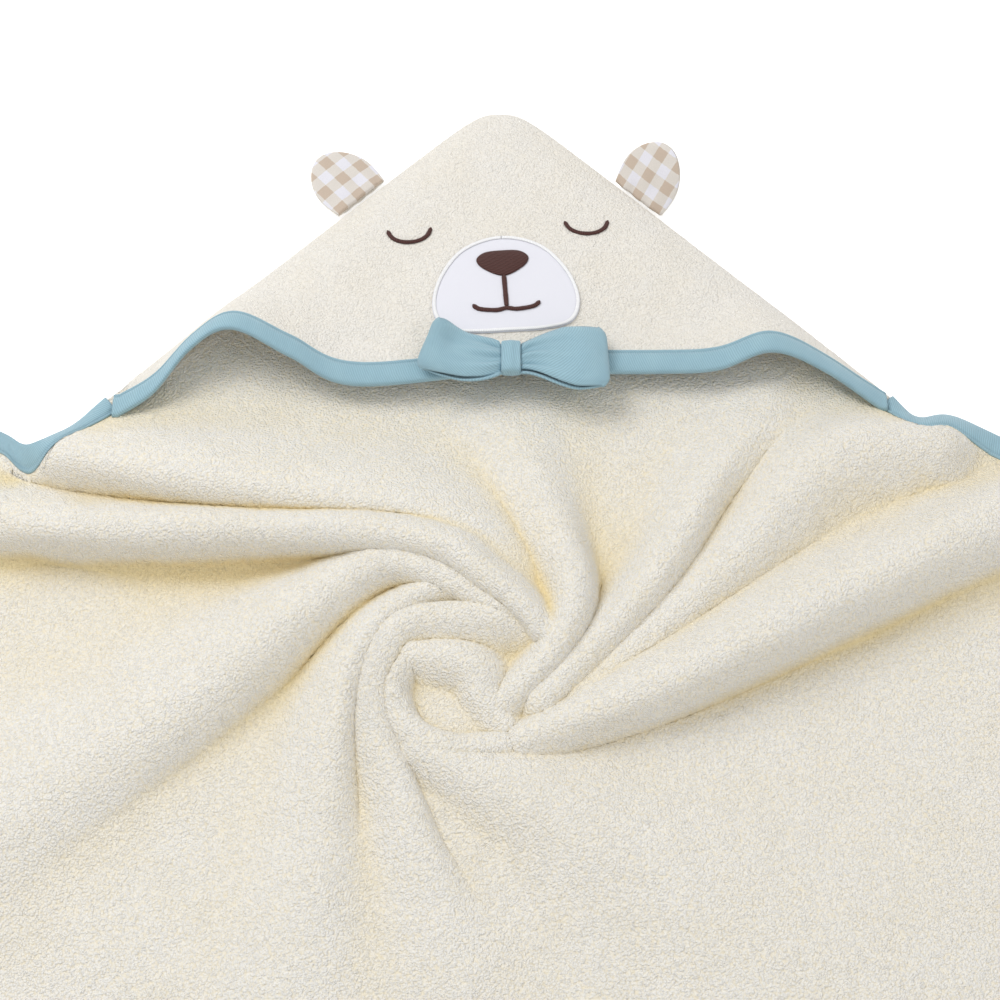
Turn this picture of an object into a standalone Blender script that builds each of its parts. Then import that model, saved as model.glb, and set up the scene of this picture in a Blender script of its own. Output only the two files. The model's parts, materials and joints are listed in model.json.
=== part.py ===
"""Hooded baby towel, spread flat with its middle twisted into a swirl of folds.

Metres, +Z up. The towel lies on z = 0 with the hood's point towards +Y.
x = 0 is the centre line, and y = 0 lies under the hood, 70 mm behind its open front edge.
"""

import math

import bmesh
import bpy
import numpy as np
from mathutils import Matrix, Vector

# Cloth
TERRY = 0.004            # height of the terry cloth's two faces of loops
TERRY_BOUND = 0.002      # terry pressed flat where the binding or a seam grips it
TAPE = 0.0012            # cotton tape of the binding and the bow
BINDING_WIDTH = 0.0125   # how far the binding reaches in from the cloth's edge
GAP = 0.0003             # room left between pieces that touch
TABLE_GAP = 0.0001
EDGE_LIFT = TABLE_GAP + TAPE + GAP   # the towel's edge rides on the binding's lower leg

# Towel and hood
HOOD_HALF = 0.210        # half the width between the ends of the hood's two seams
HOOD_CORNER_Y = -0.064   # where the seams end on the towel's edge
HOOD_POINT_Y = HOOD_CORNER_Y + HOOD_HALF   # where the seams would meet, at a right angle
HOOD_POINT_ROUND = 0.014
HOOD_LOFT = 0.019        # height of the hood's top over most of its area
HOOD_SEAM_ROLL = 0.012   # how quickly the hood rises from its seam
SEAM_Z = EDGE_LIFT + TERRY_BOUND + GAP + TERRY_BOUND
LEFT_REACH = 0.545       # from the centre line to the towel's left corner
RIGHT_REACH = 0.550
BOTTOM_REACH = 0.760
CORNER_ROUND = 0.050
LEFT_CORNER = (-LEFT_REACH, -0.260)
BOTTOM_CORNER = (0.0, -BOTTOM_REACH)
RIGHT_CORNER = (RIGHT_REACH, -0.250)

# The swirl that the folds run into
SWIRL = (-0.015, -0.250)
SWIRL_RADIUS = 0.10
SWIRL_LIFT = 0.009
CREASE = 0.0026          # how softly two folds meet
FOLD_SMALLEST = 0.010    # least distance over which a fold falls to half its height

# Ears
EAR_BASE = 0.036
EAR_WIDTH = 0.040
EAR_LENGTH = 0.036
EAR_LAYER = 0.0018
EAR_PLACE = 0.079        # distance of each ear's middle from the centre line
EAR_ROOT = 0.0026        # how far outside the seam an ear's root starts
EAR_ROOT_Z = SEAM_Z - 0.0019
EAR_HINGE_Z = SEAM_Z + 0.0009
LEFT_EAR_TILT = 10.0     # degrees above the table
RIGHT_EAR_TILT = 50.0

# Face
FACE_TILT = 4.0          # degrees, its right side higher
FACE_AT = (0.0025, -0.004)
PATCH = 0.0009
BORDER_WIDTH = 0.003
THREAD_HEIGHT = 0.0011
THREAD_WIDTH = 0.0026
EYE_THREAD_WIDTH = 0.0024

# Bow
BOW_AT = (0.006, -0.061)
BOW_BAND = (0.0115, 0.022, 0.0096)
BOW_CLEAR = 0.0006       # from the hood's binding to the underside of the bow
BOW_LOFT = 0.0040        # half the gap between a loop's two layers
BOW_START = 0.32         # radians round the loop at which a wing leaves the band
BOW_LENGTH = 0.046
BOW_WAIST = 0.015
BOW_END = 0.037

# Grid density
TOWEL_CELLS = 52
HOOD_COLUMNS = 44
HOOD_ROWS = 9

CREAM = (0.84, 0.80, 0.71, 1.0)
BLUE = (0.30, 0.47, 0.55, 1.0)
WHITE = (0.82, 0.82, 0.86, 1.0)
BROWN = (0.075, 0.030, 0.026, 1.0)
CHECK = (0.72, 0.62, 0.52, 1.0)

# Open front edge of the hood, from its left corner: x, y and the height it stands at.
# Its x is stretched to HOOD_HALF.
HOOD_FRONT = (
    (-0.210, -0.084, 0.010),
    (-0.190, -0.073, 0.018),
    (-0.170, -0.053, 0.033),
    (-0.148, -0.045, 0.039),
    (-0.115, -0.058, 0.029),
    (-0.080, -0.070, 0.019),
    (0.000, -0.064, 0.021),
    (0.085, -0.062, 0.019),
    (0.120, -0.061, 0.021),
    (0.150, -0.054, 0.029),
    (0.180, -0.063, 0.023),
    (0.210, -0.080, 0.011),
)

# Towel edge from the hood's corner to the towel's, on the left and on the right. It is
# stretched to lie between those two corners.
LEFT_EDGE = (
    (-0.210, -0.064),
    (-0.222, -0.071),
    (-0.240, -0.078),
    (-0.262, -0.084),
    (-0.282, -0.090),
    (-0.300, -0.097),
    (-0.360, -0.122),
    (-0.440, -0.170),
    (-0.545, -0.260),
)
RIGHT_EDGE = (
    (0.210, -0.064),
    (0.220, -0.071),
    (0.236, -0.079),
    (0.253, -0.087),
    (0.275, -0.100),
    (0.305, -0.120),
    (0.380, -0.155),
    (0.460, -0.197),
    (0.550, -0.250),
)

# Tucks in that edge: side, place beyond the hood's corner, depth, and how wide each is on its
# side near the hood and on its far side
TUCKS = (
    (-1.0, 0.0415, 0.031, 0.024, 0.020),
    (1.0, 0.018, 0.012, 0.010, 0.012),
)
TUCK_FROM_Y = -0.085     # a tuck fades out below here
TUCK_REACH = 0.140

# Folds as crest lines: x, y, height, and how wide each falls away to its left and right
FOLDS = {
    "long_roll": (
        (-0.450, -0.185, 0.010, 0.030, 0.030),
        (-0.340, -0.155, 0.021, 0.022, 0.014),
        (-0.200, -0.165, 0.032, 0.016, 0.009),
        (-0.050, -0.170, 0.036, 0.014, 0.008),
        (0.000, -0.198, 0.036, 0.012, 0.008),
        (0.023, -0.225, 0.028, 0.009, 0.007),
        (0.025, -0.240, 0.014, 0.008, 0.007),
    ),
    "corner_flap": (
        (-0.262, -0.112, 0.010, 0.014, 0.010),
        (-0.228, -0.119, 0.025, 0.018, 0.011),
        (-0.150, -0.136, 0.030, 0.030, 0.010),
        (-0.050, -0.152, 0.026, 0.030, 0.009),
        (0.000, -0.182, 0.020, 0.018, 0.009),
        (0.018, -0.212, 0.012, 0.010, 0.009),
    ),
    "middle_ridge": (
        (0.005, -0.095, 0.008, 0.024, 0.024),
        (0.025, -0.150, 0.020, 0.014, 0.018),
        (0.038, -0.200, 0.029, 0.009, 0.014),
        (0.030, -0.232, 0.028, 0.008, 0.013),
        (0.002, -0.265, 0.018, 0.008, 0.009),
    ),
    "right_ridge": (
        (0.145, -0.085, 0.008, 0.018, 0.022),
        (0.110, -0.140, 0.022, 0.010, 0.018),
        (0.078, -0.196, 0.025, 0.010, 0.014),
        (0.022, -0.264, 0.020, 0.008, 0.010),
    ),
    "hood_corner_ridge": (
        (0.236, -0.112, 0.022, 0.014, 0.016),
        (0.175, -0.122, 0.025, 0.022, 0.022),
        (0.120, -0.184, 0.021, 0.014, 0.016),
        (0.040, -0.262, 0.016, 0.009, 0.010),
    ),
    "right_arm": (
        (0.450, -0.195, 0.010, 0.034, 0.030),
        (0.360, -0.150, 0.021, 0.026, 0.022),
        (0.270, -0.158, 0.030, 0.018, 0.022),
        (0.180, -0.200, 0.034, 0.017, 0.022),
        (0.080, -0.254, 0.031, 0.013, 0.017),
        (0.012, -0.285, 0.018, 0.009, 0.010),
    ),
    "left_arm": (
        (-0.400, -0.470, 0.007, 0.070, 0.050),
        (-0.270, -0.348, 0.016, 0.050, 0.030),
        (-0.150, -0.253, 0.025, 0.034, 0.020),
        (-0.080, -0.195, 0.029, 0.016, 0.013),
        (-0.045, -0.186, 0.029, 0.010, 0.009),
        (0.000, -0.210, 0.027, 0.008, 0.007),
        (0.019, -0.223, 0.023, 0.008, 0.007),
    ),
    "outer_curl": (
        (-0.105, -0.470, 0.006, 0.040, 0.030),
        (-0.090, -0.350, 0.014, 0.026, 0.016),
        (-0.085, -0.272, 0.022, 0.018, 0.009),
        (-0.068, -0.222, 0.025, 0.012, 0.007),
        (-0.037, -0.201, 0.024, 0.008, 0.006),
        (-0.018, -0.204, 0.019, 0.008, 0.006),
    ),
    "inner_curl": (
        (-0.020, -0.400, 0.006, 0.024, 0.020),
        (-0.050, -0.322, 0.016, 0.013, 0.009),
        (-0.067, -0.270, 0.023, 0.007, 0.010),
        (-0.060, -0.233, 0.026, 0.006, 0.013),
        (-0.041, -0.218, 0.026, 0.006, 0.014),
        (0.000, -0.217, 0.025, 0.007, 0.015),
        (0.014, -0.221, 0.022, 0.007, 0.013),
    ),
    "second_curl": (
        (-0.046, -0.235, 0.018, 0.006, 0.008),
        (-0.054, -0.259, 0.022, 0.006, 0.008),
        (-0.045, -0.284, 0.022, 0.007, 0.008),
        (-0.022, -0.291, 0.019, 0.008, 0.009),
        (0.001, -0.287, 0.016, 0.008, 0.009),
    ),
    "inner_mound": (
        (-0.046, -0.238, 0.020, 0.010, 0.010),
        (-0.017, -0.245, 0.023, 0.016, 0.011),
        (-0.009, -0.261, 0.019, 0.014, 0.009),
        (0.001, -0.276, 0.015, 0.010, 0.008),
    ),
    "lower_right_ridge": (
        (0.200, -0.430, 0.006, 0.050, 0.060),
        (0.080, -0.355, 0.014, 0.036, 0.040),
        (0.020, -0.322, 0.020, 0.020, 0.028),
        (-0.042, -0.291, 0.019, 0.008, 0.010),
    ),
}

# Face, from the muzzle's centre with the face upright: x to its right, y to its top
MUZZLE = (
    (0.000, 0.0335),
    (-0.022, 0.026),
    (-0.036, 0.008),
    (-0.0415, -0.013),
    (-0.036, -0.029),
    (-0.020, -0.0335),
    (0.000, -0.034),
    (0.020, -0.0335),
    (0.036, -0.029),
    (0.0415, -0.013),
    (0.036, 0.008),
    (0.022, 0.026),
)
NOSE = (
    (0.000, 0.0225),
    (-0.010, 0.0215),
    (-0.0148, 0.0165),
    (-0.0110, 0.0100),
    (0.000, 0.0045),
    (0.0110, 0.0100),
    (0.0148, 0.0165),
    (0.010, 0.0215),
)
PHILTRUM = ((0.0, 0.0038), (0.0, -0.006), (0.0, -0.0162))
MOUTH = ((-0.0188, -0.0150), (-0.0150, -0.0180), (-0.006, -0.0194), (0.0, -0.0192),
         (0.006, -0.0194), (0.0150, -0.0180), (0.0188, -0.0150))
EYE = ((-0.0125, 0.0046), (-0.0100, -0.0005), (-0.0055, -0.0036), (0.0, -0.0046),
       (0.0055, -0.0036), (0.0100, -0.0005), (0.0125, 0.0046))
LEFT_EYE_AT = (-0.0515, 0.0385)
RIGHT_EYE_AT = (0.0500, 0.0375)


def smooth_path(points, per_span):
    """Catmull-Rom curve through rows of numbers, with per_span steps from each row to the next."""
    rows = np.asarray(points, float)
    padded = np.vstack([2 * rows[0] - rows[1], rows, 2 * rows[-1] - rows[-2]])
    t = np.linspace(0.0, 1.0, per_span, endpoint=False)[:, None]
    spans = []
    for before, start, end, after in zip(padded, padded[1:], padded[2:], padded[3:]):
        spans.append(0.5 * (2 * start + (end - before) * t
                            + (2 * before - 5 * start + 4 * end - after) * t ** 2
                            + (3 * start - before - 3 * end + after) * t ** 3))
    return np.vstack(spans + [rows[-1:]])


def along(path, shares):
    """Points at the given shares of a path's length."""
    steps = np.linalg.norm(np.diff(path[:, :2], axis=0), axis=1)
    length = np.concatenate([[0.0], np.cumsum(steps)])
    wanted = np.asarray(shares) * length[-1]
    return np.stack([np.interp(wanted, length, column) for column in path.T], axis=1)


def fitted(rows, start, end):
    """Plan points stretched so that the first lands on start and the last on end."""
    rows = np.asarray(rows, float)
    return start + (rows - rows[0]) * (np.asarray(end) - start) / (rows[-1] - rows[0])


def one_fold(x, y, rows):
    """Height that one fold gives at each point."""
    crest = smooth_path(rows, 8)
    start = crest[:-1]
    step = np.diff(crest[:, :2], axis=0)
    length2 = (step ** 2).sum(axis=1)
    dx = x[:, None] - start[None, :, 0]
    dy = y[:, None] - start[None, :, 1]
    share = np.clip((dx * step[:, 0] + dy * step[:, 1]) / length2, 0.0, 1.0)
    off_x = dx - share * step[:, 0]
    off_y = dy - share * step[:, 1]
    away = np.hypot(off_x, off_y)
    nearest = away.argmin(axis=1)
    at = np.arange(len(x))
    part = share[at, nearest][:, None]
    row = crest[nearest] * (1 - part) + crest[nearest + 1] * part
    side = step[nearest, 0] * off_y[at, nearest] - step[nearest, 1] * off_x[at, nearest]
    width = np.maximum(np.where(side > 0, row[:, 3], row[:, 4]), FOLD_SMALLEST)
    return row[:, 2] * np.exp(-(away[at, nearest] / width) ** 2 * math.log(2))


def fold_height(x, y):
    """Height of the folds over the table, zero where the towel lies flat."""
    shape = np.shape(x)
    x = np.ravel(x)
    y = np.ravel(y)
    from_swirl = np.hypot(x - SWIRL[0], y - SWIRL[1])
    base = SWIRL_LIFT * np.exp(-(from_swirl / SWIRL_RADIUS) ** 2)
    total = np.exp(base / CREASE)
    for rows in FOLDS.values():
        total += np.exp(one_fold(x, y, rows) / CREASE) - 1.0
    height = CREASE * np.log(total)
    under_hood = np.clip((y - hood_front_y(x)) / 0.05 + 0.2, 0.0, 1.0)
    flat = under_hood ** 2 * (3 - 2 * under_hood)
    return (height * (1 - flat)).reshape(shape)


def hood_seam_y(x):
    """Where the hood's seam runs: two straight legs that meet in a rounded point."""
    return HOOD_POINT_Y - (np.abs(x) ** 3 + HOOD_POINT_ROUND ** 3) ** (1 / 3)


FRONT_PATH = smooth_path(HOOD_FRONT, 10)
FRONT_PATH[:, 0] *= HOOD_HALF / FRONT_PATH[-1, 0]


def hood_front_y(x):
    return np.interp(x, FRONT_PATH[:, 0], FRONT_PATH[:, 1])


def hood_top(x, y):
    """Height of the hood's upper face."""
    behind = np.clip((y - hood_front_y(x)) / 0.07, 0.0, 1.0)
    ease = behind ** 2 * (3 - 2 * behind)
    front = np.interp(x, FRONT_PATH[:, 0], FRONT_PATH[:, 2])
    loft = front * (1 - ease) + HOOD_LOFT * ease
    from_seam = np.maximum(hood_seam_y(x) - y, 0.0) / math.sqrt(2)
    rise = 1 - np.exp(-from_seam / HOOD_SEAM_ROLL)
    return SEAM_Z + np.maximum(loft - SEAM_Z, 0.0) * rise


def material(name, colour, roughness):
    made = bpy.data.materials.new(name)
    made.use_nodes = True
    shader = made.node_tree.nodes["Principled BSDF"]
    shader.inputs["Base Color"].default_value = colour
    shader.inputs["Roughness"].default_value = roughness
    shader.inputs["Metallic"].default_value = 0.0
    return made


def add(name, points, faces, colour, roughness=0.95, collection=None):
    """A named mesh object with its own material."""
    mesh = bpy.data.meshes.new(name)
    mesh.from_pydata([tuple(p) for p in points], [], [tuple(int(i) for i in f) for f in faces])
    mesh.materials.append(material(name, colour, roughness))
    obj = bpy.data.objects.new(name, mesh)
    collection.objects.link(obj)
    tidy = bmesh.new()
    tidy.from_mesh(mesh)
    bmesh.ops.recalc_face_normals(tidy, faces=tidy.faces)
    tidy.to_mesh(mesh)
    tidy.free()
    return obj


def rim_of(faces):
    """Edges that only one face uses, in that face's direction."""
    seen = {}
    for face in faces:
        for a, b in zip(face, face[1:] + face[:1]):
            seen[(a, b)] = True
    return [(a, b) for a, b in seen if (b, a) not in seen]


def slab(name, upper, lower, faces, colour, collection):
    """A closed sheet between two layers of points that share the same faces."""
    count = len(upper)
    under = [tuple(i + count for i in reversed(face)) for face in faces]
    walls = [(b, a, a + count, b + count) for a, b in rim_of(faces)]
    return add(name, np.vstack([upper, lower]), faces + under + walls, colour,
               collection=collection)


def grid_faces(rows, columns, closed=False):
    """Quads of a grid whose points are listed row by row."""
    faces = []
    for i in range(rows - 1):
        for j in range(columns if closed else columns - 1):
            k = (j + 1) % columns
            faces.append((i * columns + j, i * columns + k, (i + 1) * columns + k,
                          (i + 1) * columns + j))
    return faces


def halves(faces):
    """Quads split from their first corner to their third, so that twisted layers stay apart."""
    return [half for a, b, c, d in faces for half in ((a, b, c), (a, c, d))]


def rounded_corner(corner, before, after):
    """Points along the arc that rounds a corner of the towel."""
    corner, before, after = (np.asarray(p, float) for p in (corner, before, after))
    start = corner + CORNER_ROUND * (before - corner) / np.linalg.norm(before - corner)
    end = corner + CORNER_ROUND * (after - corner) / np.linalg.norm(after - corner)
    t = np.linspace(0.0, 1.0, 9)[:, None]
    return (1 - t) ** 2 * start + 2 * t * (1 - t) * corner + t ** 2 * end


def towel_sides():
    """The towel's outline as four paths: hood point to left corner, and on round."""
    seam_x = np.concatenate([np.linspace(0.0, 0.03, 8), np.linspace(0.04, HOOD_HALF, 18)])
    left_seam = np.stack([-seam_x, hood_seam_y(seam_x)], axis=1)
    right_seam = np.stack([seam_x, hood_seam_y(seam_x)], axis=1)
    left_edge = smooth_path(fitted(LEFT_EDGE, left_seam[-1], LEFT_CORNER)[:-1], 8)
    right_edge = smooth_path(fitted(RIGHT_EDGE, right_seam[-1], RIGHT_CORNER)[:-1], 8)
    left = rounded_corner(LEFT_CORNER, left_edge[-1], BOTTOM_CORNER)
    bottom = rounded_corner(BOTTOM_CORNER, LEFT_CORNER, RIGHT_CORNER)
    right = rounded_corner(RIGHT_CORNER, BOTTOM_CORNER, right_edge[-1])
    middle = len(left) // 2
    return (
        np.vstack([left_seam, left_edge[1:], left[:middle + 1]]),
        np.vstack([left[middle:], bottom[:middle + 1]]),
        np.vstack([bottom[middle:], right[:middle + 1]]),
        np.vstack([right[middle:], right_edge[::-1], right_seam[-2::-1]]),
    )


def cell_shares():
    """Shares along a side, closer together level with the swirl."""
    share = np.linspace(0.0, 1.0, 400)
    density = 1.0 + 3.4 * np.exp(-((share - 0.47) / 0.13) ** 2)
    grown = np.concatenate([[0.0], np.cumsum((density[1:] + density[:-1]) / 2)])
    return np.interp(np.linspace(0.0, grown[-1], TOWEL_CELLS + 1), grown, share)


def towel_outline():
    """The outline's points in order from the hood's point, and the same points moved in."""
    shares = cell_shares()
    left, lower_left, lower_right, right = towel_sides()
    edge = np.vstack([
        along(left, shares)[:-1],
        along(lower_left, 1 - shares[::-1])[:-1],
        along(lower_right, shares)[:-1],
        along(right, 1 - shares[::-1])[:-1],
    ])
    ahead = np.roll(edge, -1, axis=0) - np.roll(edge, 1, axis=0)
    ahead /= np.linalg.norm(ahead, axis=1)[:, None]
    inward = np.stack([-ahead[:, 1], ahead[:, 0]], axis=1)
    return edge, edge + BINDING_WIDTH * inward


def tucked(plan):
    """Pulls the towel's edge in where it is tucked beside the hood."""
    x, y = plan.T
    low = np.clip((TUCK_FROM_Y - y) / TUCK_REACH, 0.0, 1.0)
    fade = 1 - low ** 2 * (3 - 2 * low)
    moved = np.zeros(len(x))
    for side, beyond, depth, near, far in TUCKS:
        away = side * x - HOOD_HALF - beyond
        width = np.where(away < 0, near, far)
        moved += depth * np.exp(-(away / width) ** 2) * fade
    return np.column_stack([x, y - moved])


def coons(top, end, bottom, start):
    """Fills a grid between four paths of equal count that run on round a patch."""
    bottom = bottom[::-1]
    start = start[::-1]
    shares = cell_shares()
    u = shares[:, None, None]
    v = shares[None, :, None]
    ruled = (1 - v) * top[:, None] + v * bottom[:, None]
    across = (1 - u) * start[None] + u * end[None]
    corners = ((1 - u) * (1 - v) * top[0] + u * (1 - v) * top[-1]
               + (1 - u) * v * bottom[0] + u * v * bottom[-1])
    return ruled + across - corners


def towel_grid():
    """Plan points of the towel: the inner grid, then the outline; with their faces."""
    edge, inner = towel_outline()
    n = TOWEL_CELLS
    loop = np.vstack([inner, inner[:1]])
    grid = coons(*(loop[k * n:(k + 1) * n + 1] for k in range(4)))
    faces = [tuple(face[::-1]) for face in grid_faces(n + 1, n + 1)]
    index = np.arange((n + 1) ** 2).reshape(n + 1, n + 1)
    rim = np.concatenate([index[:-1, 0], index[-1, :-1], index[:0:-1, -1], index[0, :0:-1]])
    first_edge = (n + 1) ** 2
    count = len(rim)
    ring = []
    for k in range(count):
        m = (k + 1) % count
        ring.append((int(rim[m]), int(rim[k]), first_edge + k, first_edge + m))
    faces += halves(ring)
    return tucked(grid.reshape(-1, 2)), rim, tucked(edge), faces


def towel_layers():
    """Upper and lower points of the towel panel, with the plan of its rim."""
    plan, rim, edge, faces = towel_grid()
    points = np.vstack([plan, edge])
    rise = fold_height(points[:, 0], points[:, 1])
    thick = np.full(len(points), TERRY)
    lift = np.zeros(len(points))
    gripped = np.concatenate([rim, np.arange(len(plan), len(points))])
    thick[gripped] = TERRY_BOUND
    lift[gripped] = EDGE_LIFT
    lower = np.column_stack([points, rise + lift])
    upper = lower + np.column_stack([np.zeros((len(points), 2)), thick])
    return upper, lower, rim, len(plan), faces


def make_towel(collection):
    upper, lower, _, _, faces = towel_layers()
    slab("towel_panel", upper, lower, faces, CREAM, collection)


def binding_section(edge_top, edge_bottom, inner_top, inner_bottom):
    """Outer and inner faces of a tape folded over a cloth edge, five points to a section."""
    out = edge_top - inner_top
    out[:, 2] *= 0.5
    out /= np.linalg.norm(out, axis=1)[:, None]
    up = np.array([0.0, 0.0, 1.0])
    middle = (edge_top + edge_bottom) / 2
    layers = []
    for away in (GAP + TAPE, GAP):
        layers.append(np.stack([
            inner_top + up * away,
            edge_top + up * away,
            middle + out * (away + TERRY_BOUND / 4),
            edge_bottom - up * away,
            inner_bottom - up * away,
        ], axis=1))
    return layers


def binding_faces(stations):
    """Faces between five-point sections, split as the cloth inside them is."""
    faces = []
    for face in grid_faces(stations, 5):
        upper_leg = face[0] % 5 == 0
        faces.append(face[1:] + face[:1] if upper_leg else face)
    return halves(faces)


def make_binding(name, edge_top, edge_bottom, inner_top, inner_bottom, collection):
    outer, inner = binding_section(edge_top, edge_bottom, inner_top, inner_bottom)
    slab(name, outer.reshape(-1, 3), inner.reshape(-1, 3), binding_faces(len(edge_top)), BLUE,
         collection)


def make_outer_binding(collection):
    """Runs round the towel from one end of the hood's seam to the other."""
    upper, lower, rim, first_edge, _ = towel_layers()
    edge = np.arange(first_edge, len(upper))
    plan = upper[edge]
    bound = plan[:, 1] < hood_seam_y(HOOD_HALF) - 0.006
    kept = np.flatnonzero(bound)
    make_binding("outer_binding", upper[edge[kept]], lower[edge[kept]], upper[rim[kept]],
                 lower[rim[kept]], collection)


def hood_grid():
    """Plan points of the hood: columns across it, rows from its front edge to its seam."""
    columns = np.linspace(-HOOD_HALF + 0.006, HOOD_HALF - 0.006, HOOD_COLUMNS + 1)
    front = hood_front_y(columns)
    depth = hood_seam_y(columns) - front
    first = np.minimum(BINDING_WIDTH, 0.42 * depth)
    shares = np.linspace(0.0, 1.0, HOOD_ROWS)
    shares = 1 - (1 - shares) ** 1.35
    rows = [front]
    for share in shares:
        rows.append(front + first + (depth - first) * share)
    y = np.stack(rows)
    x = np.broadcast_to(columns, y.shape)
    return x, y


def hood_layers():
    x, y = hood_grid()
    top = hood_top(x, y)
    thick = np.full(x.shape, TERRY)
    thick[:2] = TERRY_BOUND
    thick[-1] = TERRY_BOUND
    floor = EDGE_LIFT + TERRY_BOUND + GAP
    under = np.maximum(top - thick, np.maximum(floor, TERRY + GAP))
    under[-1] = floor
    upper = np.stack([x, y, top], axis=-1)
    lower = np.stack([x, y, np.minimum(under, top - 0.0006)], axis=-1)
    return upper, lower


def make_hood(collection):
    upper, lower = hood_layers()
    rows, columns = upper.shape[:2]
    slab("hood_panel", upper.reshape(-1, 3), lower.reshape(-1, 3),
         halves(grid_faces(rows, columns)), CREAM, collection)


def make_hood_binding(collection):
    upper, lower = hood_layers()
    make_binding("hood_binding", upper[0], lower[0], upper[1], lower[1], collection)


def place(obj, pivot):
    """Puts an object's origin on its joint without moving its shape."""
    obj.data.transform(Matrix.Translation(-Vector(pivot)))
    obj.location = pivot


def ear_grid():
    """An ear lying in its own plane: x along the seam, y away from the hood, and its fullness."""
    share = np.linspace(0.0, 0.99, 11)[:, None]
    across = np.linspace(-1.0, 1.0, 13)[None, :]
    widen = EAR_BASE + (EAR_WIDTH - EAR_BASE) * np.sin(math.pi * np.minimum(share, 0.9) / 0.9)
    half = widen / 2 * np.sqrt(1 - share ** 3.2)
    x = across * half
    y = EAR_LENGTH * share * np.ones_like(across)
    full = (1 - across ** 4) * (1 - share ** 6) * 0.6 + 0.4
    return x, y, full


def ear_pivot(side):
    """A point on the seam at the ear's middle, raised to the hood's edge."""
    x = side * EAR_PLACE
    return Vector((x, hood_seam_y(x), EAR_HINGE_Z))


def ear_frame(side, tilt):
    """Turns ear coordinates into the towel's: out along the ground, then tilted up."""
    away = Vector((side, 1.0, 0.0)).normalized()
    along_seam = Vector((1.0, -side, 0.0)).normalized()
    up = Vector((0.0, 0.0, 1.0))
    lean = math.radians(tilt)
    outward = away * math.cos(lean) + up * math.sin(lean)
    face = up * math.cos(lean) - away * math.sin(lean)
    root = ear_pivot(side) + away * EAR_ROOT
    root.z = EAR_ROOT_Z
    frame = Matrix((along_seam, outward, face)).transposed().to_4x4()
    return Matrix.Translation(root) @ frame


def make_ear(name, side, tilt, collection):
    """Two layers of cloth sewn edge to edge: a checked front and a terry back."""
    x, y, full = ear_grid()
    rows, columns = x.shape
    frame = np.array(ear_frame(side, tilt))
    for layer, facing, colour in (("front", 1.0, CHECK), ("back", -1.0, CREAM)):
        near = np.full(x.shape, facing * GAP / 2)
        far = near + facing * EAR_LAYER * full
        sheets = []
        for height in (far, near):
            points = np.stack([x, y, height, np.ones(x.shape)], axis=-1).reshape(-1, 4)
            sheets.append((points @ frame.T)[:, :3])
        made = slab(f"{name}_{layer}", *sheets, grid_faces(rows, columns), colour, collection)
        place(made, ear_pivot(side))


def closed_path(points, per_span):
    """A smooth loop through the points."""
    looped = points[-2:] + points + points[:2]
    path = smooth_path(looped, per_span)
    return path[2 * per_span:(2 + len(points)) * per_span]


def face_plan(points):
    """Turns upright face coordinates into the towel's plan."""
    turn = math.radians(FACE_TILT)
    x, y = np.asarray(points, float).T
    return np.stack([FACE_AT[0] + x * math.cos(turn) - y * math.sin(turn),
                     FACE_AT[1] + x * math.sin(turn) + y * math.cos(turn)], axis=1)


def on_hood(name, plan, faces, clear, height, colour, collection):
    """A thin sheet lying over the hood's upper face."""
    low = np.column_stack([plan, hood_top(plan[:, 0], plan[:, 1]) + clear])
    high = low + np.array([0.0, 0.0, height])
    slab(name, high, low, faces, colour, collection)


def disc(loop, rings):
    """Plan points and faces that fill a loop from its middle."""
    middle = loop.mean(axis=0)
    count = len(loop)
    points = [middle[None]]
    for ring in range(1, rings + 1):
        points.append(middle + (loop - middle) * ring / rings)
    faces = [(0, 1 + k, 1 + (k + 1) % count) for k in range(count)]
    for face in grid_faces(rings, count, closed=True):
        faces.append(tuple(i + 1 for i in face[::-1]))
    return np.vstack(points), faces


def stroke(path, width):
    """Plan points and faces of a line of satin stitch, narrowed at both ends."""
    ahead = np.gradient(path, axis=0)
    ahead /= np.linalg.norm(ahead, axis=1)[:, None]
    side = np.stack([-ahead[:, 1], ahead[:, 0]], axis=1)
    half = np.full(len(path), width / 2)
    half[[0, -1]] *= 0.55
    lines = [path + side * (half * share)[:, None] for share in (-1.0, 0.0, 1.0)]
    return np.stack(lines, axis=1).reshape(-1, 2), grid_faces(len(path), 3)


def make_face(collection):
    on_patch = GAP + PATCH + GAP
    muzzle = closed_path(MUZZLE, 3)
    plan, faces = disc(face_plan(muzzle), 5)
    on_hood("muzzle_patch", plan, faces, GAP, PATCH, WHITE, collection)

    reach = np.linalg.norm(muzzle, axis=1)[:, None]
    border = np.vstack([muzzle * (1 - BORDER_WIDTH / reach), muzzle * (1 - GAP / reach)])
    faces = [face[::-1] for face in grid_faces(2, len(muzzle), closed=True)]
    on_hood("muzzle_border", face_plan(border), faces, on_patch, THREAD_HEIGHT, WHITE,
            collection)

    plan, faces = disc(face_plan(closed_path(NOSE, 3)), 3)
    on_hood("nose_embroidery", plan, faces, on_patch, THREAD_HEIGHT, BROWN, collection)

    for name, points in (("philtrum_embroidery", PHILTRUM), ("mouth_embroidery", MOUTH)):
        plan, faces = stroke(smooth_path(points, 3), THREAD_WIDTH)
        on_hood(name, face_plan(plan), faces, on_patch, THREAD_HEIGHT, BROWN, collection)

    for name, middle in (("left_eye_embroidery", LEFT_EYE_AT),
                         ("right_eye_embroidery", RIGHT_EYE_AT)):
        path = smooth_path(EYE, 3) + np.array(middle)
        plan, faces = stroke(path, EYE_THREAD_WIDTH)
        on_hood(name, face_plan(plan), faces, GAP, THREAD_HEIGHT, BROWN, collection)


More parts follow.
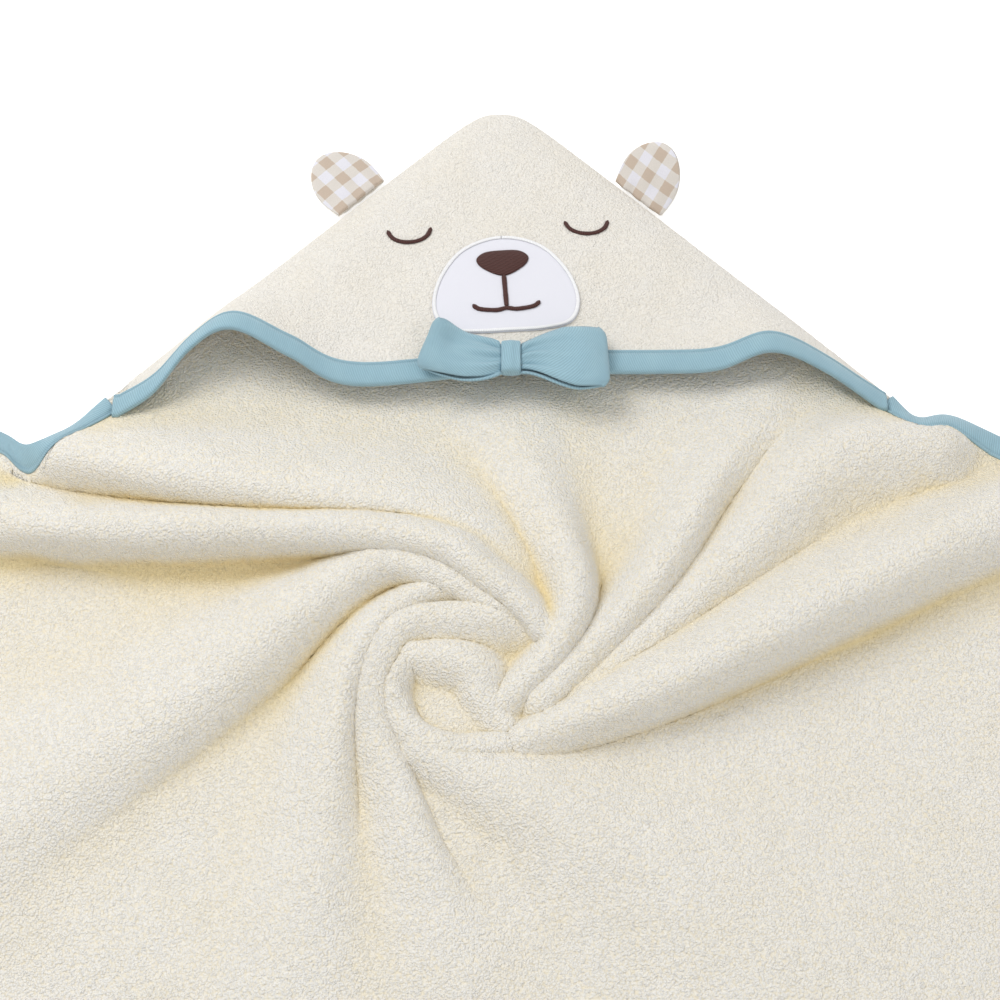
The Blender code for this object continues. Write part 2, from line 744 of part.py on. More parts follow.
def bow_middle_z():
    """Height of the middle of the bow, whose underside just clears the hood's binding."""
    front = float(hood_top(BOW_AT[0], hood_front_y(BOW_AT[0])))
    return front + GAP + TAPE + BOW_CLEAR + BOW_BAND[2] / 2


def bow_pivot(side):
    """Beside the band, level with the top of the wing that leaves it there."""
    return (BOW_AT[0] + side * (BOW_BAND[0] / 2 + GAP), BOW_AT[1],
            bow_middle_z() + bow_start_rise())


def bow_start_rise():
    """From the middle of a wing up to its top where it leaves the band."""
    return BOW_LOFT * math.sin(BOW_START) + TAPE / 2


def make_bow_loop(name, side, collection):
    """Half the bow: a strip of tape that leaves the band, folds over, and comes back under."""
    turn = np.linspace(BOW_START, 2 * math.pi - BOW_START, 19)
    reach = np.sin(turn / 2)
    start = math.sin(BOW_START / 2)
    reach = (reach - start) / (1 - start)
    centre = np.stack([reach * BOW_LENGTH, BOW_LOFT * np.sin(turn)], axis=1)
    ahead = np.gradient(centre, axis=0)
    ahead /= np.linalg.norm(ahead, axis=1)[:, None]
    outward = np.stack([-ahead[:, 1], ahead[:, 0]], axis=1)
    across = np.linspace(-0.5, 0.5, 7)
    width = BOW_WAIST + (BOW_END - BOW_WAIST) * reach ** 0.8
    pivot = np.array(bow_pivot(side))
    sheets = []
    for shift in (TAPE / 2, -TAPE / 2):
        line = centre + outward * shift
        line[:, 0] = np.maximum(line[:, 0], 0.0)
        x = side * line[:, :1] * np.ones_like(across)
        y = width[:, None] * across
        z = (line[:, 1:] - bow_start_rise()) * np.ones_like(across)
        sheets.append(np.stack([x, y, z], axis=-1).reshape(-1, 3) + pivot)
    made = slab(name, *sheets, grid_faces(len(turn), len(across)), BLUE, collection)
    place(made, pivot)


def make_bow_band(collection):
    """The short tape wrapped round the middle of the bow, closed behind it."""
    box = bmesh.new()
    bmesh.ops.create_cube(box, size=1.0)
    bmesh.ops.scale(box, vec=BOW_BAND, verts=box.verts)
    bmesh.ops.bevel(box, geom=box.edges[:], offset=BOW_BAND[2] * 0.22, segments=2,
                    affect="EDGES", profile=0.5)
    mesh = bpy.data.meshes.new("bow_band")
    box.to_mesh(mesh)
    box.free()
    mesh.materials.append(material("bow_band", BLUE, 0.9))
    band = bpy.data.objects.new("bow_band", mesh)
    band.location = (BOW_AT[0], BOW_AT[1], bow_middle_z())
    collection.objects.link(band)


def new_collection(name):
    made = bpy.data.collections.new(name)
    bpy.context.scene.collection.children.link(made)
    return made


def main():
    for obj in list(bpy.data.objects):
        bpy.data.objects.remove(obj, do_unlink=True)
    towel = new_collection("hooded_baby_towel")
    make_towel(towel)
    make_outer_binding(towel)
    make_hood(towel)
    make_hood_binding(towel)
    make_ear("left_ear", -1.0, LEFT_EAR_TILT, towel)
    make_ear("right_ear", 1.0, RIGHT_EAR_TILT, towel)
    make_face(towel)
    make_bow_loop("bow_left_loop", -1.0, towel)
    make_bow_loop("bow_right_loop", 1.0, towel)
    make_bow_band(towel)


main()
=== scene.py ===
"""Looks of the hooded baby towel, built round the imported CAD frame.

Metres, +Z up, in the CAD model's frame: x = 0 is the towel's centre line, y = 0 lies under the
hood, 70 mm behind its open front edge, and the towel lies on z = 0.
"""

import json
import math

import bmesh
import bpy
import numpy as np
from mathutils import Matrix, Vector, noise

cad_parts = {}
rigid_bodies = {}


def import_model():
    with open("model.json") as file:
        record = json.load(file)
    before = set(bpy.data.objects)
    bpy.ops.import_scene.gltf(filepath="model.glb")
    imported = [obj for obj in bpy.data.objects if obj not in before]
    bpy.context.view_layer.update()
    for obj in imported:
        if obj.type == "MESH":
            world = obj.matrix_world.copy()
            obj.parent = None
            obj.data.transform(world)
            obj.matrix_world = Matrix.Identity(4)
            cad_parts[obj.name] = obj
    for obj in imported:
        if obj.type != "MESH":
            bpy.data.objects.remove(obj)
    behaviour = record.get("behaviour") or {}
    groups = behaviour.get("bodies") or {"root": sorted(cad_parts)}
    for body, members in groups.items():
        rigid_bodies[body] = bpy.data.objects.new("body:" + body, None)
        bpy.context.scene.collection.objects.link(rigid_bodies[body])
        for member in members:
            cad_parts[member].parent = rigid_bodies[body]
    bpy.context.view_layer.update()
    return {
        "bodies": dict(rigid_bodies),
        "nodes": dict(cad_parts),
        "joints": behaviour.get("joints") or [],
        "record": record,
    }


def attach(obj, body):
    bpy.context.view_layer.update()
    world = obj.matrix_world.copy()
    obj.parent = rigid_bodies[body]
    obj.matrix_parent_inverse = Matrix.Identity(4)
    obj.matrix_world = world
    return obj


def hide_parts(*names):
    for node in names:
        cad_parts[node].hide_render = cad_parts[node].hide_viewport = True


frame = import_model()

# Cloth
TERRY = 0.004
TERRY_BOUND = 0.002
TAPE = 0.0012
BINDING_WIDTH = 0.0125
GAP = 0.0003
TABLE_GAP = 0.0001
EDGE_LIFT = TABLE_GAP + TAPE + GAP
UP = np.array([0.0, 0.0, 1.0])
HASH = (12.9898, 78.233, 43758.5453)    # mixes a noise cell's column and row into an angle
SEED_STEP = (7.31, 3.17)                # cells by which a seed moves the noise

# Section of a folded tape from its inner edge outward: share of its width, and height in tapes
# over or under the cloth. The ditch in its top is its line of stitches.
TAPE_TOP = ((1.0, 0.15), (0.97, 0.75), (0.88, 0.95), (0.83, 0.35), (0.77, 1.05), (0.6, 1.45),
            (0.4, 1.50), (0.2, 1.35), (0.06, 1.0))
TAPE_FOLD = (60, 30, 0, -30, -60)
TAPE_UNDER = ((0.06, 1.0), (0.4, 1.0), (0.8, 1.0), (1.0, 0.4))
TAPE_ROUND = 0.030       # length round a tape's section, for its weave
TAPE_START = 0.004       # the outer tape starts this far in front of the hood's corners

# Towel and hood
HOOD_HALF = 0.210
HOOD_POINT_Y = 0.146
HOOD_POINT_ROUND = 0.014
HOOD_LOFT = 0.019
HOOD_SEAM_ROLL = 0.012
HOOD_TURN = 0.004        # radius of the cloth turned at the seam
HOOD_ARCHED = 0.070      # how far back the arches of the front edge reach
HOOD_CELLS = (120, 320)
HOOD_TAPE_CELLS = 420
HOOD_BOUND = 0.42        # most of the hood's depth that lies in its tape
HOOD_TAPE_BOUND = 0.75   # and most that the tape covers
HOOD_INSET = 0.004       # the hood's cloth stops this far inside its corners
HOOD_TAPE_BEYOND = 0.003
HOOD_LUMPS = ((0.0016, 0.060, 3), (0.0005, 0.020, 4))    # height, size and seed of each layer
HOOD_LUMP_TOP = 0.0010
HOOD_PRESSED = 0.0018
FACE_CALM = (0.050, 0.042)    # half sizes of the smoother part round the face
SEAM_Z = EDGE_LIFT + TERRY_BOUND + GAP + TERRY_BOUND
CORNER_ROUND = 0.050
LEFT_CORNER = (-0.545, -0.260)
BOTTOM_CORNER = (0.0, -0.760)
RIGHT_CORNER = (0.550, -0.250)

# Swirl
SWIRL = (-0.015, -0.250)
SWIRL_RADIUS = 0.10
SWIRL_LIFT = 0.009
CREASE = 0.0012          # how softly two folds meet
FULL_LEAN = 0.006        # lean at which a fold's side is a full roll
ROLL_SPAN = 1.155        # reach of a rolled side over the reach of a soft one
FOLD_STEPS = 6
FOLDS_FADE = (-0.010, 0.040)     # distances behind the hood's front where the folds die away
TOWEL_CELLS = 300
CLOSER_CELLS = (2.8, 0.45, 0.17)    # how much closer at the swirl, the share of a side, the spread
SETTLE_TIMES = 30
# The towel's painted crease shade grows with how deep a point lies in these hollows.
HOLLOWS = ((60, 0.0075), (10, 0.0022))    # cells that a hollow spans, and the depth of a full one
TOWEL_LUMPS = ((0.0012, 0.060, 1), (0.0005, 0.017, 2))    # height, size and seed of each layer
LOOP_HEIGHT = 0.00016    # how unevenly the terry's loops stand
LOOP_SEED = 5

# Ears
EAR_BASE = 0.036
EAR_WIDTH = 0.040
EAR_LENGTH = 0.036
EAR_LAYER = 0.0018
EAR_PLACE = 0.079
EAR_ROOT = 0.0026
EAR_ROOT_Z = SEAM_Z - 0.0019
LEFT_EAR_TILT = 10.0
RIGHT_EAR_TILT = 50.0
EAR_FULLNESS = 0.0010
EAR_CHECK = 0.0070
EAR_CELLS = (44, 49)

# Face
FACE_TILT = 4.0
FACE_AT = (0.0025, -0.004)
LEFT_EYE_AT = (-0.0515, 0.0385)
RIGHT_EYE_AT = (0.0500, 0.0375)
PATCH = 0.0009
BORDER_WIDTH = 0.0023
BORDER_HEIGHT = 0.0005
THREAD_HEIGHT = 0.0011
THREAD_WIDTH = 0.0027
EYE_THREAD_WIDTH = 0.0025
THREAD_PITCH = 0.0010    # from one stitch to the next
THREAD_SLANT = 0.35      # how far a stitch leans for its length

# Stage
FLOOR_Z = -0.0005
LIGHTS = (("key", (-0.8, 0.45, 1.4), 1.0, 14.0), ("fill", (0.9, -1.1, 1.5), 1.6, 6.0))
LIGHTS_AIM = (0.0, -0.15, 0.0)
CAMERA_AIM = (0.0, -0.135, 0.0)
CAMERA_AWAY = 1.3
CAMERA_TILT = 58.7
CAMERA_LENS = 86.5

# Bow
BOW_AT = (0.006, -0.061)
BOW_BAND = (0.0105, 0.0205, 0.0092)
BOW_MIDDLE_Z = 0.0279
BOW_LOFT = 0.0040
BOW_START = 0.32         # angle at which the tape leaves the band
BOW_LENGTH = 0.046
BOW_WAIST = 0.0072       # half the bow's height at the band
BOW_CELLS = (97, 41)

# Left halves of the face's outlines, from the muzzle's centre with the face upright
MUZZLE = (
    (0.000, 0.0335), (-0.022, 0.026), (-0.036, 0.008), (-0.0415, -0.013), (-0.036, -0.029),
    (-0.020, -0.0335), (0.000, -0.034),
)
NOSE = (
    (0.000, 0.0225), (-0.010, 0.0215), (-0.0148, 0.0165), (-0.0110, 0.0100), (0.000, 0.0045),
)
MOUTH = ((-0.0188, -0.0150), (-0.0150, -0.0180), (-0.006, -0.0194), (0.0, -0.0184))
EYE = ((-0.0125, 0.0046), (-0.0100, -0.0005), (-0.0055, -0.0036), (0.0, -0.0046))
PHILTRUM = ((0.0, 0.0048), (0.0, -0.006), (0.0, -0.0172))

# The hood's open front edge: x, y and height. The towel's edges beside it: x and y.
HOOD_FRONT = (
    (-0.210, -0.084, 0.010), (-0.190, -0.073, 0.018), (-0.170, -0.053, 0.033),
    (-0.148, -0.045, 0.039), (-0.115, -0.058, 0.029), (-0.080, -0.070, 0.019),
    (0.000, -0.064, 0.021), (0.085, -0.062, 0.019), (0.120, -0.061, 0.021),
    (0.150, -0.054, 0.029), (0.180, -0.063, 0.023), (0.210, -0.080, 0.011),
)
LEFT_EDGE = (
    (-0.210, -0.064), (-0.222, -0.071), (-0.240, -0.078), (-0.262, -0.084), (-0.282, -0.090),
    (-0.300, -0.097), (-0.360, -0.122), (-0.440, -0.170),
)
RIGHT_EDGE = (
    (0.210, -0.064), (0.220, -0.071), (0.236, -0.079), (0.253, -0.087), (0.275, -0.100),
    (0.305, -0.120), (0.380, -0.155), (0.460, -0.197),
)

# Tucks in that edge: side, place beyond the hood's corner, depth, and how wide each is on its
# side near the hood and on its far side
TUCKS = (
    (-1.0, 0.0415, 0.031, 0.024, 0.020),
    (1.0, 0.018, 0.012, 0.010, 0.012),
)
TUCK_FROM_Y = -0.085
TUCK_REACH = 0.140

# Folds as crest lines: x, y, height, fall-away to the left and right, and how far the crest
# leans over to the right
FOLDS = {
    "long_roll": (
        (-0.450, -0.185, 0.010, 0.030, 0.030, 0.000),
        (-0.340, -0.155, 0.021, 0.022, 0.014, 0.004),
        (-0.200, -0.165, 0.032, 0.016, 0.009, 0.007),
        (-0.050, -0.170, 0.036, 0.014, 0.008, 0.008),
        (0.000, -0.198, 0.036, 0.012, 0.008, 0.007),
        (0.023, -0.225, 0.028, 0.009, 0.007, 0.004),
        (0.025, -0.240, 0.014, 0.008, 0.007, 0.000),
    ),
    "corner_flap": (
        (-0.262, -0.112, 0.010, 0.014, 0.010, 0.000),
        (-0.228, -0.119, 0.025, 0.018, 0.011, 0.003),
        (-0.150, -0.136, 0.030, 0.030, 0.010, 0.006),
        (-0.050, -0.152, 0.026, 0.030, 0.009, 0.004),
        (0.000, -0.182, 0.020, 0.018, 0.009, 0.000),
        (0.018, -0.212, 0.012, 0.010, 0.009, 0.000),
    ),
    "middle_ridge": (
        (0.005, -0.095, 0.008, 0.024, 0.024, 0.000),
        (0.025, -0.150, 0.020, 0.014, 0.018, 0.000),
        (0.038, -0.200, 0.029, 0.009, 0.014, -0.002),
        (0.030, -0.232, 0.028, 0.008, 0.013, -0.002),
        (0.002, -0.265, 0.018, 0.008, 0.009, 0.000),
    ),
    "right_ridge": (
        (0.145, -0.085, 0.008, 0.018, 0.022, 0.000),
        (0.110, -0.140, 0.022, 0.010, 0.018, -0.001),
        (0.078, -0.196, 0.025, 0.010, 0.014, -0.002),
        (0.022, -0.264, 0.020, 0.008, 0.010, 0.000),
    ),
    "hood_corner_ridge": (
        (0.236, -0.112, 0.022, 0.014, 0.016, 0.000),
        (0.175, -0.122, 0.025, 0.022, 0.022, 0.000),
        (0.120, -0.184, 0.021, 0.014, 0.016, 0.000),
        (0.040, -0.262, 0.016, 0.009, 0.010, 0.000),
    ),
    "right_arm": (
        (0.450, -0.195, 0.010, 0.034, 0.030, 0.000),
        (0.360, -0.150, 0.021, 0.026, 0.022, 0.000),
        (0.270, -0.158, 0.030, 0.018, 0.022, -0.003),
        (0.180, -0.200, 0.034, 0.017, 0.022, -0.006),
        (0.080, -0.254, 0.031, 0.013, 0.017, -0.006),
        (0.012, -0.285, 0.018, 0.009, 0.010, 0.000),
    ),
    "left_arm": (
        (-0.400, -0.470, 0.007, 0.070, 0.050, 0.000),
        (-0.270, -0.348, 0.016, 0.050, 0.030, 0.000),
        (-0.150, -0.253, 0.025, 0.034, 0.020, 0.003),
        (-0.080, -0.195, 0.029, 0.016, 0.013, 0.003),
        (-0.045, -0.186, 0.029, 0.010, 0.009, 0.004),
        (0.000, -0.210, 0.027, 0.008, 0.007, 0.004),
        (0.019, -0.223, 0.023, 0.008, 0.007, 0.000),
    ),
    "outer_curl": (
        (-0.105, -0.470, 0.006, 0.040, 0.030, 0.000),
        (-0.090, -0.350, 0.014, 0.026, 0.016, 0.000),
        (-0.085, -0.272, 0.022, 0.018, 0.009, 0.004),
        (-0.068, -0.222, 0.025, 0.012, 0.007, 0.005),
        (-0.037, -0.201, 0.024, 0.008, 0.006, 0.003),
        (-0.018, -0.204, 0.019, 0.008, 0.006, 0.000),
    ),
    "inner_curl": (
        (-0.020, -0.400, 0.006, 0.024, 0.020, 0.000),
        (-0.050, -0.322, 0.016, 0.013, 0.009, 0.004),
        (-0.067, -0.270, 0.023, 0.007, 0.010, 0.002),
        (-0.060, -0.233, 0.026, 0.006, 0.013, 0.000),
        (-0.041, -0.218, 0.026, 0.006, 0.014, 0.000),
        (0.000, -0.217, 0.025, 0.007, 0.015, 0.000),
        (0.014, -0.221, 0.022, 0.007, 0.013, 0.000),
    ),
    "second_curl": (
        (-0.046, -0.235, 0.018, 0.006, 0.008, 0.000),
        (-0.054, -0.259, 0.022, 0.006, 0.008, 0.000),
        (-0.045, -0.284, 0.022, 0.007, 0.008, -0.002),
        (-0.022, -0.291, 0.019, 0.008, 0.009, 0.000),
        (0.001, -0.287, 0.016, 0.008, 0.009, 0.000),
    ),
    "inner_mound": (
        (-0.046, -0.238, 0.020, 0.010, 0.010, 0.000),
        (-0.017, -0.245, 0.023, 0.016, 0.011, 0.000),
        (-0.009, -0.261, 0.019, 0.014, 0.009, 0.000),
        (0.001, -0.276, 0.015, 0.010, 0.008, 0.000),
    ),
    "lower_right_ridge": (
        (0.200, -0.430, 0.006, 0.050, 0.060, 0.000),
        (0.080, -0.355, 0.014, 0.036, 0.040, 0.000),
        (0.020, -0.322, 0.020, 0.020, 0.028, 0.000),
        (-0.042, -0.291, 0.019, 0.008, 0.010, 0.000),
    ),
}


# Shapes ------------------------------

def ease(value, low, high):
    """0 below low, 1 above high, and a smooth rise between."""
    t = np.clip((value - low) / (high - low), 0.0, 1.0)
    return t * t * (3 - 2 * t)


def fade(away):
    """1 at a corner of a noise cell, falling smoothly to 0 at the next corner."""
    return 1 - away ** 3 * (away * (6 * away - 15) + 10)


def cloth_noise(x, y, size, seed):
    """Smooth random number at each plan point, about one wave to each size metres."""
    u = x / size + seed * SEED_STEP[0]
    v = y / size + seed * SEED_STEP[1]
    column = np.floor(u)
    row = np.floor(v)
    fu = u - column
    fv = v - row
    total = 0.0
    for i in (0, 1):
        for j in (0, 1):
            angle = HASH[2] * np.sin((column + i) * HASH[0] + (row + j) * HASH[1])
            dot = np.cos(angle) * (fu - i) + np.sin(angle) * (fv - j)
            total = total + dot * (fade(np.abs(fu - i)) * fade(np.abs(fv - j)))
    return total * 1.5


def soft_lumps(x, y, layers):
    """Layers of noise added up, each with its height, size and seed."""
    return sum(height * cloth_noise(x, y, size, seed) for height, size, seed in layers)


def smooth_path(points, per_span):
    """Catmull-Rom curve through rows of numbers, with per_span steps from each row to the next."""
    rows = np.asarray(points, float)
    padded = np.vstack([2 * rows[0] - rows[1], rows, 2 * rows[-1] - rows[-2]])
    t = np.linspace(0.0, 1.0, per_span, endpoint=False)[:, None]
    spans = []
    for before, start, end, after in zip(padded, padded[1:], padded[2:], padded[3:]):
        spans.append(0.5 * (2 * start + (end - before) * t
                            + (2 * before - 5 * start + 4 * end - after) * t ** 2
                            + (3 * start - before - 3 * end + after) * t ** 3))
    return np.vstack(spans + [rows[-1:]])


def lengths(path):
    """Length of a path up to each of its points."""
    steps = np.linalg.norm(np.diff(path, axis=0), axis=1)
    return np.concatenate([[0.0], np.cumsum(steps)])


def along(path, shares):
    """Points at the given shares of a path's length."""
    length = lengths(path[:, :2])
    wanted = np.asarray(shares) * length[-1]
    return np.stack([np.interp(wanted, length, column) for column in path.T], axis=1)


def one_fold(x, y, rows):
    """Height that one fold gives at each point, and how far it carries the point sideways."""
    crest = smooth_path(rows, FOLD_STEPS)
    step = np.diff(crest[:, :2], axis=0)
    unit = step / np.linalg.norm(step, axis=1)[:, None]
    best = np.full(len(x), np.inf)
    found = np.zeros(len(x), int)
    part = np.zeros(len(x))
    for k, (start, span) in enumerate(zip(crest, step)):
        dx = x - start[0]
        dy = y - start[1]
        share = np.clip((dx * span[0] + dy * span[1]) / (span @ span), 0.0, 1.0)
        away = (dx - share * span[0]) ** 2 + (dy - share * span[1]) ** 2
        closer = away < best
        best = np.where(closer, away, best)
        found[closer] = k
        part = np.where(closer, share, part)
    part = part[:, None]
    row = crest[found] * (1 - part) + crest[found + 1] * part
    side = unit[found, 0] * (y - row[:, 1]) - unit[found, 1] * (x - row[:, 0])
    width = np.where(side > 0, row[:, 3], row[:, 4])
    soft = np.exp(-best / width ** 2 * math.log(2))
    rolled = np.sqrt(np.maximum(1 - best / (ROLL_SPAN * width) ** 2, 0.0))
    roll = np.clip(np.where(side > 0, -row[:, 5], row[:, 5]) / FULL_LEAN, 0.0, 1.0)
    shape = soft + roll * (rolled - soft)
    lean = row[:, 5] * shape ** 2
    return row[:, 2] * shape, lean[:, None] * np.stack([unit[found, 1], -unit[found, 0]], axis=1)


def hood_seam_y(x):
    return HOOD_POINT_Y - (np.abs(x) ** 3 + HOOD_POINT_ROUND ** 3) ** (1 / 3)


def from_seam(x, y):
    """Distance of a plan point in front of the hood's seam."""
    return np.maximum(hood_seam_y(x) - y, 0.0) / math.sqrt(2)


FRONT_PATH = smooth_path(HOOD_FRONT, 12)


def hood_front_y(x):
    return np.interp(x, FRONT_PATH[:, 0], FRONT_PATH[:, 1])


def drape(plan):
    """Where each plan point of the towel's underside goes once the folds are in."""
    x, y = plan.T
    from_swirl = np.hypot(x - SWIRL[0], y - SWIRL[1])
    base = SWIRL_LIFT * np.exp(-(from_swirl / SWIRL_RADIUS) ** 2)
    weight = np.exp(base / CREASE)
    total = weight.copy()
    shift = np.zeros_like(plan)
    for rows in FOLDS.values():
        height, lean = one_fold(x, y, rows)
        weight = np.exp(height / CREASE) - 1.0
        total += weight
        shift += weight[:, None] * lean
    height = CREASE * np.log(total)
    free = 1 - ease(y - hood_front_y(x), *FOLDS_FADE)
    moved = plan + shift / total[:, None] * free[:, None]
    return np.column_stack([moved, height * free])


def tucked(plan):
    """Pulls the towel's edge in where it is tucked beside the hood."""
    x, y = plan.T
    pull = 1 - ease(TUCK_FROM_Y - y, 0.0, TUCK_REACH)
    moved = np.zeros(len(x))
    for side, beyond, depth, near, far in TUCKS:
        away = side * x - HOOD_HALF - beyond
        width = np.where(away < 0, near, far)
        moved += depth * np.exp(-(away / width) ** 2) * pull
    return np.column_stack([x, y - moved])


def hood_top(x, y):
    """Height of the hood's upper face. Its soft lumps only press in, clear of a folded ear."""
    behind = y - hood_front_y(x)
    back = ease(behind, 0.0, HOOD_ARCHED)
    front = np.interp(x, FRONT_PATH[:, 0], FRONT_PATH[:, 2])
    loft = front * (1 - back) + HOOD_LOFT * back
    inside = from_seam(x, y)
    rise = 1 - np.exp(-inside / HOOD_SEAM_ROLL)
    smooth = SEAM_Z + np.maximum(loft - SEAM_Z, 0.0) * rise
    face_x, face_y = ((p - at) / half for p, at, half in zip((x, y), FACE_AT, FACE_CALM))
    calm = np.exp(-(face_x ** 4 + face_y ** 4))
    soft = np.clip((behind - 0.008) / 0.020, 0.0, 1.0) * np.clip(inside / 0.012, 0.0, 1.0)
    pressed = np.minimum(soft_lumps(x, y, HOOD_LUMPS), HOOD_LUMP_TOP) - HOOD_PRESSED
    return smooth + pressed * soft * (1 - 0.8 * calm)


def grid_faces(rows, columns, closed=False):
    """Quads of a grid whose points are listed row by row, as an array."""
    i = np.arange(rows - 1)[:, None] * columns
    j = np.arange(columns if closed else columns - 1)[None, :]
    k = (j + 1) % columns
    return np.stack([i + j, i + k, i + columns + k, i + columns + j], axis=-1).reshape(-1, 4)


def rim_of(faces):
    """Edges that only one quad uses, in that quad's direction."""
    ends = np.stack([faces, np.roll(faces, -1, axis=1)], axis=-1).reshape(-1, 2)
    size = faces.max() + 1
    key = ends[:, 0] * size + ends[:, 1]
    back = ends[:, 1] * size + ends[:, 0]
    return ends[~np.isin(key, back)]


def mesh_object(name, points, faces, uv=None):
    """A smooth-shaded mesh; uv gives each point's place on the cloth in metres."""
    mesh = bpy.data.meshes.new(name)
    mesh.vertices.add(len(points))
    mesh.vertices.foreach_set("co", np.asarray(points, np.float32).ravel())
    sides = faces.shape[1]
    mesh.loops.add(faces.size)
    mesh.loops.foreach_set("vertex_index", faces.astype(np.int32).ravel())
    mesh.polygons.add(len(faces))
    mesh.polygons.foreach_set("loop_start", np.arange(0, faces.size, sides, dtype=np.int32))
    mesh.polygons.foreach_set("use_smooth", np.ones(len(faces), bool))
    if uv is not None:
        layer = mesh.uv_layers.new(name="cloth")
        layer.data.foreach_set("uv", np.asarray(uv, np.float32)[faces.ravel()].ravel())
    mesh.update(calc_edges=True)
    mesh.validate()
    obj = bpy.data.objects.new(name, mesh)
    bpy.context.scene.collection.objects.link(obj)
    return obj


def slab(name, upper, lower, faces, uv=None):
    """A closed sheet between two layers of points that share the same quads."""
    count = len(upper)
    rim = rim_of(faces)
    walls = np.stack([rim[:, 1], rim[:, 0], rim[:, 0] + count, rim[:, 1] + count], axis=1)
    every = np.vstack([faces, faces[:, ::-1] + count, walls])
    if uv is not None:
        uv = np.vstack([uv, uv])
    return mesh_object(name, np.vstack([upper, lower]), every, uv)


def face_out(obj, capped=False):
    """Turns an object's faces outward, after capping its open ends where it has them."""
    work = bmesh.new()
    work.from_mesh(obj.data)
    if capped:
        bmesh.ops.holes_fill(work, edges=[e for e in work.edges if e.is_boundary], sides=0)
    bmesh.ops.recalc_face_normals(work, faces=work.faces)
    work.to_mesh(obj.data)
    work.free()
    return obj


def uv_grid(length, across):
    """The cloth's own coordinates for a grid: along its rows and across its columns."""
    return np.stack(np.broadcast_arrays(length[:, None], across), axis=-1).reshape(-1, 2)


# Towel ------------------------------

def rounded_corner(corner, before, after):
    corner, before, after = (np.asarray(p, float) for p in (corner, before, after))
    start, end = (corner + CORNER_ROUND * (p - corner) / np.linalg.norm(p - corner)
                  for p in (before, after))
    t = np.linspace(0.0, 1.0, 17)[:, None]
    return (1 - t) ** 2 * start + 2 * t * (1 - t) * corner + t ** 2 * end


def towel_sides():
    """The towel's outline as four paths: hood point to left corner, and on round."""
    near_point = np.linspace(0.0, 0.030, 16)
    seam_x = np.concatenate([near_point, np.linspace(0.034, HOOD_HALF, 40)])
    right_seam = np.stack([seam_x, hood_seam_y(seam_x)], axis=1)
    left_seam = right_seam * (-1.0, 1.0)
    left_edge = smooth_path(LEFT_EDGE, 10)
    right_edge = smooth_path(RIGHT_EDGE, 10)
    left = rounded_corner(LEFT_CORNER, left_edge[-1], BOTTOM_CORNER)
    bottom = rounded_corner(BOTTOM_CORNER, LEFT_CORNER, RIGHT_CORNER)
    right = rounded_corner(RIGHT_CORNER, BOTTOM_CORNER, right_edge[-1])
    middle = len(left) // 2
    return (
        np.vstack([left_seam, left_edge[1:], left[:middle + 1]]),
        np.vstack([left[middle:], bottom[:middle + 1]]),
        np.vstack([bottom[middle:], right[:middle + 1]]),
        np.vstack([right[middle:], right_edge[::-1], right_seam[-2::-1]]),
    )


def cell_shares(cells):
    """Shares along a side, closer together level with the swirl."""
    closer, middle, spread = CLOSER_CELLS
    fine = np.linspace(0.0, 1.0, 1000)
    density = 1.0 + closer * np.exp(-((fine - middle) / spread) ** 2)
    grown = np.concatenate([[0.0], np.cumsum((density[1:] + density[:-1]) / 2)])
    return np.interp(np.linspace(0.0, grown[-1], cells + 1), grown, fine)


def towel_outline(cells):
    """The outline's points in order from the hood's point, and the inward direction at each."""
    shares = cell_shares(cells)
    left, lower_left, lower_right, right = towel_sides()
    edge = np.vstack([
        along(left, shares)[:-1],
        along(lower_left, 1 - shares[::-1])[:-1],
        along(lower_right, shares)[:-1],
        along(right, 1 - shares[::-1])[:-1],
    ])
    ahead = np.roll(edge, -1, axis=0) - np.roll(edge, 1, axis=0)
    ahead /= np.linalg.norm(ahead, axis=1)[:, None]
    return edge, np.stack([-ahead[:, 1], ahead[:, 0]], axis=1)


def coons(loop, cells):
    """Fills a grid inside a closed loop of points."""
    looped = np.vstack([loop, loop[:1]])
    top, end, bottom, start = (looped[k * cells:(k + 1) * cells + 1] for k in range(4))
    bottom = bottom[::-1]
    start = start[::-1]
    shares = cell_shares(cells)
    u = shares[:, None, None]
    v = shares[None, :, None]
    ruled = (1 - v) * top[:, None] + v * bottom[:, None]
    across = (1 - u) * start[None] + u * end[None]
    corners = ((1 - u) * (1 - v) * top[0] + u * (1 - v) * top[-1]
               + (1 - u) * v * bottom[0] + u * v * bottom[-1])
    return ruled + across - corners


def settle(grid, times, slide=0.5, smooth=0.0):
    """Evens out a grid of points along its own surface, holding its rim."""
    for _ in range(times):
        middle = (grid[:-2, 1:-1] + grid[2:, 1:-1] + grid[1:-1, :-2] + grid[1:-1, 2:]) / 4
        move = middle - grid[1:-1, 1:-1]
        up = np.cross(grid[2:, 1:-1] - grid[:-2, 1:-1], grid[1:-1, 2:] - grid[1:-1, :-2])
        up /= np.linalg.norm(up, axis=-1, keepdims=True)
        out = (move * up).sum(axis=-1, keepdims=True) * up
        grid[1:-1, 1:-1] += slide * (move - out) + smooth * out
    return grid


def hollow_share(grid, reach, deepest):
    """How deep each point of a grid lies among its neighbours, from 0 to 1 at the depth deepest."""
    wide = grid[..., 2].copy()
    for _ in range(reach):
        padded = np.pad(wide, 1, mode="edge")
        wide = (padded[:-2, 1:-1] + padded[2:, 1:-1] + padded[1:-1, :-2] + padded[1:-1, 2:]) / 4
    return np.clip((wide - grid[..., 2]) / deepest, 0.0, 1.0)


